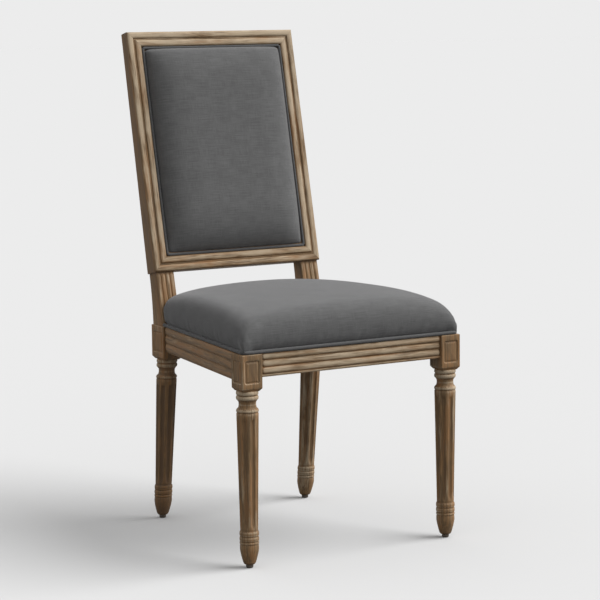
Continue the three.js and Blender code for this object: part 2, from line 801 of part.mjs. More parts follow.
function drilled(body, screwSet) {
  return screwSet.reduce((rest, each) => rest.subtract(screwHole(each)), body);
}

// The woven seat webbing: each strap goes over and under the ones that it crosses.
function weavingStrap(start, end, crossings, firstOver) {
  const lift = strapThickness + jointClearance;
  const low = [[start, 0]];
  crossings.forEach((middle, i) => {
    const over = (i % 2 === 0) === firstOver;
    if (over) {
      const half = strapWidth / 2;
      low.push(
        [middle - half - strapRamp, 0], [middle - half, lift],
        [middle + half, lift], [middle + half + strapRamp, 0],
      );
    }
  });
  low.push([end, 0]);
  const high = low.map(([s, z]) => [s, z + strapThickness]).reverse();
  return [...low, ...high];
}

const strapAcrossAt = (i) => {
  const first = railInset + railThickness + strapInset + strapWidth / 2;
  const last = rearBlockFront - strapInset - strapWidth / 2;
  return THREE.MathUtils.mapLinear(i, 0, straps - 1, first, last);
};

const strapAlongAt = (i) => {
  const last = rearWidth / 2 - blockSize - strapInset - strapWidth / 2;
  return THREE.MathUtils.mapLinear(i, 0, straps - 1, -last, last);
};

function strapAlong(i) {
  const x = strapAlongAt(i);
  const crossings = Array.from({ length: straps }, (_, j) => strapAcrossAt(j));
  const outline = weavingStrap(strapInset, seatFrameDepth - strapInset, crossings, i % 2 === 0);
  const place = new THREE.Vector3(x - strapWidth / 2, 0, seatLayer);
  return prism(outline, strapWidth, place, new THREE.Vector3(0, 1, 0), up);
}

function strapAcross(i) {
  const y = strapAcrossAt(i);
  const half = seatHalf(y + strapWidth / 2) - strapInset - railInset;
  const crossings = Array.from({ length: straps }, (_, j) => strapAlongAt(j));
  const outline = weavingStrap(-half, half, crossings, i % 2 === 1);
  const place = new THREE.Vector3(0, y + strapWidth / 2, seatLayer);
  return prism(outline, strapWidth, place, across, up);
}

// The seat's plan, drawn in from the frame's faces and notched round the rear posts.
function seatPlan(inset, postGap) {
  const front = inset;
  const rear = seatFrameDepth - inset;
  const postFront = rearBlockFront - postGap;
  const postInner = rearWidth / 2 - blockSize - postGap;
  const right = [
    [seatHalf(front) - inset, front], [seatHalf(postFront) - inset, postFront],
    [postInner, postFront], [postInner, rear],
  ];
  return [...right, ...right.slice().reverse().map(([x, y]) => [-x, y])];
}

function hessian() {
  const z = seatLayer + 2 * strapThickness + 2 * jointClearance;
  const start = new THREE.Vector3(0, 0, z);
  const outline = facingUp(seatPlan(hessianInset, strapInset));
  return prism(outline, hessianThickness, start, across, new THREE.Vector3(0, 1, 0));
}

// A pad over the unit square: a wall at its edges and a crown in the middle.
function crownedPad(place, wall, crown, cells) {
  const spread = (i) => {
    const t = 2 * i / cells - 1;
    return Math.sign(t) * (1 - (1 - Math.abs(t)) ** cellCrowding);
  };
  const fall = (t) => Math.max(0, 1 - Math.abs(t) ** edgePower);
  const swell = (t) => Math.max(0, 1 - t * t);
  const points = [];
  for (let j = 0; j <= cells; j++) {
    for (let i = 0; i <= cells; i++) {
      const [u, v] = [spread(i), spread(j)];
      const edge = (fall(u) * fall(v)) ** (1 / edgeSoftness);
      const height = wall * edge + crown * (swell(u) * swell(v)) ** crownPower;
      const pulledU = u * (1 - cornerPullShare * Math.abs(v) ** cornerPullPower);
      const pulledV = v * (1 - cornerPullShare * Math.abs(u) ** cornerPullPower);
      points.push(place(pulledU, pulledV, height));
    }
  }
  const faces = [];
  const row = cells + 1;
  for (let j = 0; j < cells; j++) {
    for (let i = 0; i < cells; i++) {
      const a = j * row + i;
      faces.push([a, a + 1, a + row + 1], [a, a + row + 1, a + row]);
    }
  }
  const rim = [];
  for (let i = 0; i < cells; i++) rim.push(i);
  for (let j = 0; j < cells; j++) rim.push(j * row + cells);
  for (let i = cells; i > 0; i--) rim.push(cells * row + i);
  for (let j = cells; j > 0; j--) rim.push(j * row);
  points.push(place(0, 0, 0));
  rim.forEach((a, i) => faces.push([rim[(i + 1) % rim.length], a, points.length - 1]));
  return solid(facing(points, faces));
}

const seatCoverInset = weltInset + weltRadius + jointClearance;

// The seat's form, drawn in all round from the seat frame's faces and set down by a drop.
function seatForm(inset, drop) {
  const front = inset;
  const rear = seatFrameDepth - inset;
  const place = (u, v, height) => {
    const y = THREE.MathUtils.mapLinear(v, -1, 1, front, rear);
    return new THREE.Vector3(u * (seatHalf(y) - inset), y, seatLayer - drop + height);
  };
  return crownedPad(place, seatWall - (inset - seatCoverInset), seatCrown, padCells);
}

// Room for the rear posts in the upholstery, following the front of each neck.
function postRoom(gap) {
  const front = neckFrontLine(-gap);
  const top = backPoint(stileWidth, neckFront);
  const rear = seatFrameDepth + cutOverrun;
  const outline = [
    [top.y - gap, top.z], ...front, [front.at(-1)[0] - neckFootInset, blockTop - cutOverrun],
    [rear, blockTop - cutOverrun], [rear, top.z],
  ];
  const inner = rearWidth / 2 - blockSize - gap;
  const outer = rearWidth / 2 + cutOverrun;
  return sideView(outline, -outer, -inner).add(sideView(outline, inner, outer));
}

// A slab that covers the whole seat between two heights.
function seatSlab(z0, z1) {
  return box(-frontWidth, frontWidth, -cutOverrun, seatFrameDepth + cutOverrun, z0, z1);
}

function seatCover() {
  const inner = seatCoverInset + fabricThickness;
  const mouth = seatForm(inner, cutOverrun).intersect(seatSlab(0, seatLayer + weld));
  const hollow = seatForm(inner, 0).add(mouth).subtract(postRoom(jointClearance + fabricThickness));
  return seatForm(seatCoverInset, 0).subtract(postRoom(jointClearance)).subtract(hollow);
}

function seatFoam() {
  const inset = seatCoverInset + fabricThickness + jointClearance;
  const base = seatLayer + 2 * strapThickness + 3 * jointClearance + hessianThickness;
  return seatForm(inset, 0)
    .intersect(seatSlab(base, overallHeight))
    .subtract(postRoom(2 * jointClearance + fabricThickness));
}

// A cord along a path of points whose neighbours lie in one plane with a given normal.
function cord(path, normal, radius, runsRound) {
  const rings = path.map((point, i) => {
    const last = path.length - 1;
    const before = path[i === 0 ? (runsRound ? last : 0) : i - 1];
    const after = path[i === last ? (runsRound ? 0 : last) : i + 1];
    const way = after.clone().sub(before).normalize();
    const side = new THREE.Vector3().crossVectors(way, normal).normalize();
    return circle(radius, weltSides, point, side, normal);
  });
  return loft(rings, runsRound);
}

// Rounds the corners of an outline of [x, y] pairs.
function roundedPath(corners, bend, runsRound) {
  const path = [];
  corners.forEach((corner, i) => {
    const isEnd = !runsRound && (i === 0 || i === corners.length - 1);
    const here = new THREE.Vector2(...corner);
    if (isEnd) {
      path.push(here);
      return;
    }
    const before = new THREE.Vector2(...corners[(i + corners.length - 1) % corners.length]);
    const after = new THREE.Vector2(...corners[(i + 1) % corners.length]);
    const from = here.clone().add(before.sub(here).setLength(bend));
    const to = here.clone().add(after.sub(here).setLength(bend));
    path.push(...new THREE.QuadraticBezierCurve(from, here, to).getPoints(weltBendSteps));
  });
  return path;
}

// The welt round the front and sides of the seat, from one rear post to the other.
function seatWelt() {
  const z = seatLayer + weltRadius;
  const end = rearBlockFront + neckFootInset - jointClearance;
  const right = [
    [seatHalf(weltInset) - weltInset, weltInset],
    [rearWidth / 2 - weltInset - jointClearance, end],
  ];
  const corners = [[-right[1][0], right[1][1]], [-right[0][0], right[0][1]], ...right];
  const path = roundedPath(corners, weltBend, false).map((p) => new THREE.Vector3(p.x, p.y, z));
  return cord(path, up, weltRadius, false);
}

function seatRearWelt() {
  const z = seatLayer + weltRadius;
  const y = seatFrameDepth - weltInset;
  const half = rearWidth / 2 - blockSize - jointClearance;
  return cord([new THREE.Vector3(-half, y, z), new THREE.Vector3(half, y, z)], up, weltRadius, false);
}

function dustCover() {
  const front = railInset + dustCoverInset;
  const rear = seatFrameDepth - front;
  const frontPost = frontWidth / 2 - blockSize - dustCoverGap;
  const rearPost = rearWidth / 2 - blockSize - dustCoverGap;
  const sideAt = (y) => railInner(y) - dustCoverGap;
  const y1 = blockSize + dustCoverGap;
  const y2 = rearBlockFront - dustCoverGap;
  const right = [
    [frontPost, front], [frontPost, y1], [sideAt(y1), y1],
    [sideAt(y2), y2], [rearPost, y2], [rearPost, rear],
  ];
  const outline = [...right, ...right.slice().reverse().map(([x, y]) => [-x, y])];
  const start = new THREE.Vector3(0, 0, railBottom - jointClearance - dustCoverThickness);
  return prism(facingUp(outline), dustCoverThickness, start, across, new THREE.Vector3(0, 1, 0));
}

// Where the back pad's cover, board and foam lie inside the moulding.
const backCoverInset = mouldingWidth + 2 * weltRadius + 2 * jointClearance;
const backBoardInset = backCoverInset + fabricThickness + boardMargin;
const backSeatDepth = frontRebateDepth - jointClearance; // where the pad meets its ledge

function backForm(inset, depth, wall) {
  const half = backHalf - inset;
  const place = (u, v, height) => {
    const along = THREE.MathUtils.mapLinear(v, -1, 1, inset, backHeight - inset);
    return backPoint(along, depth - height, u * half);
  };
  return crownedPad(place, wall, backPadCrown, padCells);
}

function backCover() {
  const inner = backCoverInset + fabricThickness;
  const hollow = backForm(inner, backSeatDepth, backPadWall - fabricThickness);
  const mouth = backForm(inner, backSeatDepth + weld, backPadWall - fabricThickness);
  return backForm(backCoverInset, backSeatDepth, backPadWall).subtract(hollow.add(mouth));
}

function backFoam() {
  const inset = backCoverInset + fabricThickness + jointClearance;
  const wall = backPadWall - fabricThickness - jointClearance;
  const room = backSlab(
    rectangle(-backHalf, backHalf, 0, backHeight),
    backSeatDepth - backBoardThickness - jointClearance, backSeatDepth + cutOverrun,
  );
  return backForm(inset, backSeatDepth, wall).subtract(room);
}

function backBoard() {
  const half = backHalf - backBoardInset;
  return backSlab(
    rectangle(-half, half, backBoardInset, backHeight - backBoardInset),
    backSeatDepth - backBoardThickness, backSeatDepth,
  );
}

function backWelt() {
  const inset = mouldingWidth + weltRadius + jointClearance;
  const half = backHalf - inset;
  const corners = rectangle(-half, half, inset, backHeight - inset);
  const path = roundedPath(corners, weltBend, true)
    .map((p) => backPoint(p.y, backSeatDepth - weltRadius, p.x));
  return cord(path, backIn, weltRadius, true);
}

// The outside back lies in the rear rebate, which follows the frame's tapering rear face.
const rearTaper = Math.atan2(backBottomThickness - backTopThickness, backHeight);
const rearUp = new THREE.Vector3(0, Math.sin(lean - rearTaper), Math.cos(lean - rearTaper));
const rearIn = new THREE.Vector3(0, Math.cos(lean - rearTaper), -Math.sin(lean - rearTaper));
const rearLength = backHeight / Math.cos(rearTaper);
const outsideInset = rearRebateMargin + 2 * outsideWeltRadius + 2 * jointClearance;

// A point over the rear rebate's floor, at a height along it and a distance out from it.
function rearPoint(height, out, x = 0) {
  return backPoint(0, backBottomThickness - rearRebateDepth, x)
    .addScaledVector(rearUp, height)
    .addScaledVector(rearIn, out);
}

function outsideBoard() {
  const inset = outsideInset + boardMargin;
  const half = backHalf - inset;
  const outline = rectangle(-half, half, inset, rearLength - inset);
  const start = rearPoint(0, jointClearance + outsideBoardThickness);
  return prism(outline, outsideBoardThickness, start, across, rearUp);
}

function outsideCover() {
  const half = backHalf - outsideInset;
  const base = outsideBoardThickness + 2 * jointClearance;
  const place = (u, v, height) => {
    const along = THREE.MathUtils.mapLinear(v, -1, 1, outsideInset, rearLength - outsideInset);
    return rearPoint(along, base + height, u * half);
  };
  return crownedPad(place, outsidePadWall, outsidePadCrown, outsidePadCells);
}

function outsideWelt() {
  const inset = rearRebateMargin + outsideWeltRadius + jointClearance;
  const half = backHalf - inset;
  const corners = rectangle(-half, half, inset, rearLength - inset);
  const out = outsideWeltRadius + jointClearance;
  const path = roundedPath(corners, weltBend, true).map((p) => rearPoint(p.y, out, p.x));
  return cord(path, rearIn, outsideWeltRadius, true);
}

const finishes = {
  oak: { color: 0x7a624a, roughness: 0.72, metalness: 0 },
  hiddenWood: { color: 0xb59a72, roughness: 0.8, metalness: 0 },
  linen: { color: 0x46464a, roughness: 0.95, metalness: 0 },
  foam: { color: 0xd8cfae, roughness: 0.95, metalness: 0 },
  jute: { color: 0xa08a62, roughness: 0.95, metalness: 0 },
  board: { color: 0x9c7d57, roughness: 0.85, metalness: 0 },
  dustCloth: { color: 0x202022, roughness: 0.95, metalness: 0 },
  steel: { color: 0xb8b4a8, roughness: 0.4, metalness: 0.9 },
  glideNylon: { color: 0x4a3d31, roughness: 0.5, metalness: 0 },
};

const woodwork = new THREE.Group();
const suspension = new THREE.Group();
const upholstery = new THREE.Group();

function addPiece(group, name, body, finish) {
  const mesh = new THREE.Mesh(geometryOf(body), new THREE.MeshStandardMaterial(finishes[finish]));
  mesh.name = name;
  group.add(mesh);
}

const corners = [];
for (const [endName, isRear] of [['front', false], ['rear', true]]) {
  for (const [sideName, side] of [['left', -1], ['right', 1]]) {
    corners.push({ endName, isRear, sideName, side, screws: cornerScrews(side, isRear) });
  }
}

for (const { endName, isRear, sideName, side, screws } of corners) {
  const leg = isRear ? rearLeg(side) : frontLeg(side);
  addPiece(woodwork, `${endName}_leg_${sideName}`, leg, 'oak');
  addPiece(woodwork, `foot_glide_${endName}_${sideName}`, glide(side, isRear), 'glideNylon');
  addPiece(woodwork, `corner_block_${endName}_${sideName}`, cornerBlock(side, isRear), 'hiddenWood');
  screws.forEach((each, i) => {
    const rail = i === 0 ? 'cross' : 'side';
    addPiece(woodwork, `screw_${endName}_${sideName}_${rail}_rail`, screw(each), 'steel');
  });
}

for (const [endName, isRear] of [['front', false], ['rear', true]]) {
  const screws = corners.filter((corner) => corner.isRear === isRear).map((corner) => corner.screws[0]);
  addPiece(woodwork, `seat_rail_${endName}`, drilled(crossRail(isRear), screws), 'oak');
}
for (const [sideName, side] of [['left', -1], ['right', 1]]) {
  const screws = corners.filter((corner) => corner.side === side).map((corner) => corner.screws[1]);
  addPiece(woodwork, `seat_rail_${sideName}`, drilled(sideRail(side), screws), 'oak');
}
addPiece(woodwork, 'crest_rail', crestRail(), 'oak');
addPiece(woodwork, 'lower_back_rail', lowerBackRail(), 'oak');

for (let i = 0; i < straps; i++) {
  addPiece(suspension, `webbing_along_${i + 1}`, strapAlong(i), 'jute');
  addPiece(suspension, `webbing_across_${i + 1}`, strapAcross(i), 'jute');
}
addPiece(suspension, 'seat_hessian', hessian(), 'jute');
addPiece(suspension, 'dust_cover', dustCover(), 'dustCloth');

addPiece(upholstery, 'seat_foam', seatFoam(), 'foam');
addPiece(upholstery, 'seat_cover', seatCover(), 'linen');
addPiece(upholstery, 'seat_welt', seatWelt(), 'linen');
addPiece(upholstery, 'seat_rear_welt', seatRearWelt(), 'linen');
addPiece(upholstery, 'back_board', backBoard(), 'board');
addPiece(upholstery, 'back_foam', backFoam(), 'foam');
addPiece(upholstery, 'back_cover', backCover(), 'linen');
addPiece(upholstery, 'back_welt', backWelt(), 'linen');
addPiece(upholstery, 'outside_back_board', outsideBoard(), 'board');
addPiece(upholstery, 'outside_back_cover', outsideCover(), 'linen');
addPiece(upholstery, 'outside_back_welt', outsideWelt(), 'linen');

const chair = new THREE.Group();
chair.add(woodwork, suspension, upholstery);
for (const group of chair.children) {
  group.position.y = -overallDepth / 2;
}

export default chair;
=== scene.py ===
# A square-backed dining chair: a limed oak frame on turned and fluted legs, with a seat and back in linen.
# Sizes are in millimetres, with y = 0 at the front faces of the front leg blocks, and z = 0 at the floor.
import math

import bmesh
import bpy
import numpy as np
from mathutils import Matrix, Vector


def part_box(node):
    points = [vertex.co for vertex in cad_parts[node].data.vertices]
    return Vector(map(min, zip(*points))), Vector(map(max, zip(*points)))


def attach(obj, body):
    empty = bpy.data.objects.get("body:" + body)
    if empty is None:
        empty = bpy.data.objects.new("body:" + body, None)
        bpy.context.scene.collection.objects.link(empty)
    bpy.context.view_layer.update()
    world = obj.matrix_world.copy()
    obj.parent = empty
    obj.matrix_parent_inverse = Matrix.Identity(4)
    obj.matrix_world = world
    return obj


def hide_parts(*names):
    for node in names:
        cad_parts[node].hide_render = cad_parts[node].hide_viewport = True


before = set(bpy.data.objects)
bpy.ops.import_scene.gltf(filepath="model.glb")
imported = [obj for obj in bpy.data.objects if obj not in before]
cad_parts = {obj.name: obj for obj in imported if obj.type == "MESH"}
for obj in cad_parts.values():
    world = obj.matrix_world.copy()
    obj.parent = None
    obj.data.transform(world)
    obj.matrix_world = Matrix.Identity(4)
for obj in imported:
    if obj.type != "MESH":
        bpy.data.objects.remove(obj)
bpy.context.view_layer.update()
scene = bpy.context.scene
mm = 0.001

chair = {
    "frontWidth": 488.0,  # across the outer faces of the front leg blocks
    "rearWidth": 386.0,
    "frameDepth": 475.0,  # front faces of the front blocks to rear faces of the rear blocks
    "blockBottom": 344.0,
    "blockTop": 408.0,
    "blockSize": 43.0,
    "rearBlockDepth": 52.0,
    "top": 1000.0,
    "backLean": 12.7,
    "crease": 42.0,  # faces that meet at more than this angle keep a sharp edge
}
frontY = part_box("front_leg_left")[0].y  # where y = 0 of the drawing lies in the frame
rearBlockFront = chair["frameDepth"] - chair["rearBlockDepth"]


# Shapes: points are kept in millimetres until a piece is made

# Turns the faces of a closed shape outwards
def outward(points, faces):
    volume = 0.0
    for face in faces:
        a = points[face[0]]
        for b, c in zip(face[1:-1], face[2:]):
            volume += np.dot(a, np.cross(points[b], points[c]))
    return points, [tuple(reversed(face)) for face in faces] if volume < 0 else faces


def bands(count, sides):
    faces = []
    for low in range(0, (count - 1) * sides, sides):
        for side in range(sides):
            after = (side + 1) % sides
            faces.append((low + side, low + after, low + sides + after, low + sides + side))
    return faces


# Skins over closed rings of points and caps both ends
def loft(rings):
    rings = np.asarray(rings, float)
    count, sides = rings.shape[:2]
    last = (count - 1) * sides
    caps = [tuple(range(sides - 1, -1, -1)), tuple(range(last, last + sides))]
    return outward(rings.reshape(-1, 3), bands(count, sides) + caps)


# A closed part of a piece, with each point's relief, for the wear and for painted light and shade, and its
# place in the board, for the grain
def island(shape, relief, board):
    points, faces = shape
    return {"points": points, "faces": faces, "relief": np.asarray(relief, float).ravel(), "board": board}


# An island lofted over stations of (ring, relief, board)
def swept(stations):
    rings, marks, boards = zip(*stations)
    return island(loft(rings), marks, np.array(boards).reshape(-1, 3))


def grainAt(across, depth, along, seed):
    across, depth, along = np.broadcast_arrays(across, depth, along)
    return np.stack([across + seed, depth + 0.6 * seed, along + 3.1 * seed], axis=-1)


def mapped(value, low, high, newLow, newHigh):
    return newLow + (np.asarray(value, float) - low) / (high - low) * (newHigh - newLow)


def bow(start, middle, end, t):
    return (1 - t) ** 2 * start + 2 * t * (1 - t) * middle + t * t * end


# Rounds the corners of a closed outline of (x, y, radius, relief) and returns (x, y, relief) rows
def rounded(corners, steps=3, wear=1.0):
    rows = []
    for i, (x, y, radius, relief) in enumerate(corners):
        if radius <= 0:
            rows.append((x, y, relief))
            continue
        here = np.array([x, y], float)
        ways = [np.array(corners[k][:2], float) - here for k in (i - 1, (i + 1) % len(corners))]
        lengths = [np.linalg.norm(way) for way in ways]
        cut = min(radius, 0.45 * min(lengths))
        start, end = (here + way / length * cut for way, length in zip(ways, lengths))
        for t in np.arange(steps + 1) / steps:
            off = abs(2 * t - 1)
            rows.append((*bow(start, here, end, t), max(relief, wear * (1 - off) + relief * off)))
    return rows


def placed(points):
    return np.asarray(points, float) * mm + np.array([0.0, frontY, 0.0])


def drawing(points):
    return (points - np.array([0.0, frontY, 0.0])) * 1000


def seatHalf(y):
    return mapped(y, 0, rearBlockFront, chair["frontWidth"] / 2, chair["rearWidth"] / 2)


def legCentre(side, isRear):
    width = chair["rearWidth"] if isRear else chair["frontWidth"]
    y = rearBlockFront + chair["rearBlockDepth"] / 2 if isRear else chair["blockSize"] / 2
    return side * (width - chair["blockSize"]) / 2, y


# Meshes and pieces

def readAll(rows, field, size=3, kind=float):
    found = np.zeros(len(rows) * size, kind)
    rows.foreach_get(field, found)
    return found.reshape(-1, size)


def writeMarks(mesh, name, kind, values):
    layer = mesh.attributes.new(name, kind, "POINT")
    field = "vector" if kind == "FLOAT_VECTOR" else "value"
    layer.data.foreach_set(field, np.asarray(values, np.float32).ravel())


def setCoordinates(mesh, points):
    mesh.vertices.foreach_set("co", np.asarray(points, np.float32).ravel())
    mesh.update()


def smoothFaces(mesh):
    mesh.polygons.foreach_set("use_smooth", np.ones(len(mesh.polygons), bool))


def creased(mesh):
    smoothFaces(mesh)
    mesh.set_sharp_from_angle(angle=math.radians(chair["crease"]))


def linked(name, mesh):
    piece = bpy.data.objects.new(name, mesh)
    scene.collection.objects.link(piece)
    return piece


def makePiece(name, points, faces):
    mesh = bpy.data.meshes.new(name)
    mesh.from_pydata(placed(points).tolist(), [], faces)
    mesh.update()
    creased(mesh)
    return linked(name, mesh)


def evaluatedMesh(piece):
    return bpy.data.meshes.new_from_object(piece.evaluated_get(bpy.context.evaluated_depsgraph_get()))


# Takes what the modifiers make as the piece's own mesh
def applied(piece):
    mesh, old = evaluatedMesh(piece), piece.data
    piece.modifiers.clear()
    piece.data = mesh
    mesh.name = piece.name
    bpy.data.meshes.remove(old)


def finishPiece(piece, nodes, material=None):
    if material:
        piece.data.materials.append(material)
    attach(piece, "root")
    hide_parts(*nodes)


mergeGap = 0.01  # points nearer than this become one


def makeOakPiece(name, islands, nodes):
    faces, start = [], 0
    for part in islands:
        faces += [tuple(i + start for i in face) for face in part["faces"]]
        start += len(part["points"])
    points, relief, board = (np.concatenate([part[field] for part in islands])
                             for field in ("points", "relief", "board"))
    piece = makePiece(name, points, faces)
    writeMarks(piece.data, "relief", "FLOAT", relief)
    writeMarks(piece.data, "board", "FLOAT_VECTOR", board * mm)
    work = bmesh.new()
    work.from_mesh(piece.data)
    bmesh.ops.remove_doubles(work, verts=work.verts, dist=mergeGap * mm)
    bmesh.ops.dissolve_degenerate(work, edges=work.edges, dist=mergeGap * mm / 2)
    work.to_mesh(piece.data)
    work.free()
    creased(piece.data)
    finishPiece(piece, nodes, oak)


# Node trees, for materials and for Geometry Nodes: a sum is made in the tree that its values come from

def wire(tree, kind, inputs=None, output=0, **settings):
    node = tree.nodes.new(kind)
    for key, value in settings.items():
        setattr(node, key, value)
    for key, value in (inputs or {}).items():
        if isinstance(value, bpy.types.NodeSocket):
            tree.links.new(value, node.inputs[key])
        else:
            node.inputs[key].default_value = value
    return node.outputs[output]


def sums(operation, *values, kind="ShaderNodeMath", output=0):
    tree = next(value for value in values if isinstance(value, bpy.types.NodeSocket)).id_data
    return wire(tree, kind, dict(enumerate(values)), output, operation=operation)


def vectorSums(operation, *values, output=0):
    return sums(operation, *values, kind="ShaderNodeVectorMath", output=output)


def scaled(vector, factor):
    return wire(vector.id_data, "ShaderNodeVectorMath", {0: vector, "Scale": factor}, operation="SCALE")


def plus(total, *others):
    for other in others:
        total = sums("ADD", total, other)
    return total


def minus(first, second):
    return sums("SUBTRACT", first, second)


def times(first, second):
    return sums("MULTIPLY", first, second)


def over(first, second):
    return sums("DIVIDE", first, second)


def squared(value):
    return sums("POWER", value, 2.0)


def largest(first, second):
    return sums("MAXIMUM", first, second)


# Each value times its share, added up
def weighted(*pairs):
    return plus(*[times(value, share) for value, share in pairs])


# A noise's swing to both sides of its middle
def swing(value, amount):
    return times(minus(value, 0.5), amount)


def split(vector):
    return wire(vector.id_data, "ShaderNodeSeparateXYZ", {0: vector}).node.outputs


# Inputs 6 and 7 and output 2 of a Mix node are its colours
def blended(share, low, high):
    return wire(share.id_data, "ShaderNodeMix", {0: share, 6: low, 7: high}, 2, data_type="RGBA")


def between(value, low, high, newLow=0.0, newHigh=1.0):
    inputs = {"Value": value, "From Min": low, "From Max": high, "To Min": newLow, "To Max": newHigh}
    return wire(value.id_data, "ShaderNodeMapRange", inputs, interpolation_type="SMOOTHSTEP")


def stretchedNoise(vector, scale, stretch, detail=3.0, roughness=0.55, distortion=0.0, output="Fac"):
    return wire(vector.id_data, "ShaderNodeTexNoise", {
        "Vector": vectorSums("MULTIPLY", vector, stretch) if stretch else vector,
        "Scale": scale, "Detail": detail, "Roughness": roughness, "Distortion": distortion,
    }, output)


def newTree(name, kind, inputs, outputs):
    tree = bpy.data.node_groups.new(name, kind)
    for way, sockets in (("INPUT", inputs), ("OUTPUT", outputs)):
        for label, valueKind in sockets.items():
            tree.interface.new_socket(label, in_out=way, socket_type="NodeSocket" + valueKind)
    return tree, tree.nodes.new("NodeGroupInput").outputs


def endTree(tree, *values):
    out = tree.nodes.new("NodeGroupOutput").inputs
    for i, value in enumerate(values):
        tree.links.new(value, out[i])


def newMaterial(name):
    material = bpy.data.materials.new(name)
    material.use_nodes = True
    tree = material.node_tree
    return material, tree, tree.nodes["Principled BSDF"]


# What is the same all over a surface goes on the shader's own sockets
def shade(shader, colour, roughness, height, distance, strength, constants):
    tree = shader.id_data
    bump = wire(tree, "ShaderNodeBump", {"Height": height, "Distance": distance, "Strength": strength})
    for label, value in (("Base Color", colour), ("Roughness", roughness), ("Normal", bump)):
        if value is not None:
            tree.links.new(value, shader.inputs[label])
    for label, value in constants.items():
        shader.inputs[label].default_value = value


def rgb(red, green, blue):
    return (red, green, blue, 1.0)


def grey(value):
    return rgb(value, value, value)


# Materials

oakFinish = {
    "waxAndShade": rgb(0.112, 0.068, 0.038),  # old dark wax left in the grooves; where the relief is lowered for shade it is painted shade
    "wood": rgb(0.232, 0.146, 0.070),
    "warm": rgb(0.260, 0.136, 0.056),
    "limeAndLight": rgb(0.468, 0.376, 0.262),  # grey lime paste rubbed over the high places; where the relief is raised for light it is painted light
    "bare": rgb(0.122, 0.074, 0.036),
    # scale, stretch, detail, roughness and distortion of each noise; the third axis runs along the board
    "grain": (520.0, (1.0, 1.0, 0.045), 4.0, 0.62, 0.4),
    "figure": (95.0, (1.0, 1.0, 0.09), 3.0, 0.55, 0.8),
    "pores": (1700.0, (1.0, 1.0, 0.035), 2.0, 0.5),
    "patches": (24.0, (1.0, 1.0, 0.4), 3.0, 0.6),
    # where each tone starts and is full, and its least and most share
    "warmAt": (0.35, 0.66),
    "bareAt": (0.545, 0.40, 0.0, 0.85),
    "limeAndLightAt": (0.46, 1.14, 0.0, 0.86),
    "waxAndShadeAt": (0.42, 0.02, 0.0, 0.8),
    "poresAt": (0.60, 0.70, 0.0, 0.34),
    "roughAt": (0.3, 0.7, 0.58, 0.78),
    "bump": (0.00035, 0.75),  # depth in metres, and strength
    "gloss": {"Specular IOR Level": 0.32},
}


def makeOak():
    material, tree, shader = newMaterial("limedOak")
    board = wire(tree, "ShaderNodeAttribute", None, "Vector", attribute_name="board")
    relief = wire(tree, "ShaderNodeAttribute", None, "Fac", attribute_name="relief")
    grain, figure, pores, patches = (stretchedNoise(board, *oakFinish[noise])
                                     for noise in ("grain", "figure", "pores", "patches"))

    def share(label, value):
        return between(value, *oakFinish[label])

    pored = share("poresAt", pores)
    tone = oakFinish["wood"]
    for part, colour in (
        (share("warmAt", figure), "warm"),
        (share("bareAt", weighted((grain, 0.55), (figure, 0.45))), "bare"),
        # the lime share: real lime on the high places, and painted light where the relief was raised for
        # light
        (share("limeAndLightAt", plus(relief, swing(patches, 1.5), swing(grain, 1.4))), "limeAndLight"),
        # the wax share: real wax in the hollows, and painted shade where the relief was lowered for shade
        (share("waxAndShadeAt", plus(relief, swing(grain, 0.3))), "waxAndShade"),
        (pored, "waxAndShade"),
    ):
        tone = blended(part, tone, oakFinish[colour])
    height = weighted((grain, 0.7), (pored, -0.9))
    shade(shader, tone, share("roughAt", grain), height, *oakFinish["bump"], oakFinish["gloss"])
    return material


oak = makeOak()
linenFinish = {
    "pitch": 0.00085,  # metres from thread to thread
    "softness": 0.25,  # how gently one thread passes over the next
    "wander": 0.0012,  # how far the threads stray
    "slubsAcross": (26.0, 760.0, 1.0),
    "slubsAlong": (820.0, 42.0, 1.0),
    "dark": grey(0.089),
    "pale": grey(0.143),
    "weltShade": (grey(0.074), grey(0.108)),  # welts, the same cloth painted darker: painted shade in the seam under the cushion and beside the pad
    "bump": (0.00035, 0.7),
    "weltBump": (0.0003, 0.7),
    "gloss": {"Roughness": 0.92, "Specular IOR Level": 0.12, "Sheen Weight": 0.5, "Sheen Roughness": 0.4,
              "Sheen Tint": rgb(0.62, 0.62, 0.63)},
}


# Threads that pass over and under each other: how high the upper one stands
def crossing(across, along, pitch, softness):
    warp, weft = (sums("SINE", times(way, math.pi / pitch)) for way in (across, along))
    warpOver = between(times(warp, weft), -softness, softness)
    return plus(times(sums("ABSOLUTE", warp), warpOver), times(sums("ABSOLUTE", weft), minus(1.0, warpOver)))


def makeWeave():
    tree, given = newTree("plainWeave", "ShaderNodeTree", {"Across": "Float", "Along": "Float"},
                          {"Height": "Float", "Tone": "Float"})
    flat = wire(tree, "ShaderNodeCombineXYZ", {0: given[0], 1: given[1]})
    drift = stretchedNoise(flat, 90.0, None, 2.0, 0.5, output="Color")
    drift = scaled(vectorSums("SUBTRACT", drift, (0.5, 0.5, 0.5)), linenFinish["wander"])
    across, along, _ = split(vectorSums("ADD", flat, drift))
    threads = crossing(across, along, linenFinish["pitch"], linenFinish["softness"])
    slubs = weighted((stretchedNoise(flat, 1.0, linenFinish["slubsAcross"], 2.0, 0.6), 0.62),
                     (stretchedNoise(flat, 1.0, linenFinish["slubsAlong"], 2.0, 0.6), 0.38))
    endTree(tree, weighted((threads, 0.6), (slubs, 0.5)), slubs)
    return tree


weave = makeWeave()


# Height and tone of the weave at a point of the cloth
def clothAt(across, along):
    cloth = across.id_data.nodes.new("ShaderNodeGroup")
    cloth.node_tree = weave
    for i, way in enumerate((across, along)):
        across.id_data.links.new(way, cloth.inputs[i])
    return cloth.outputs


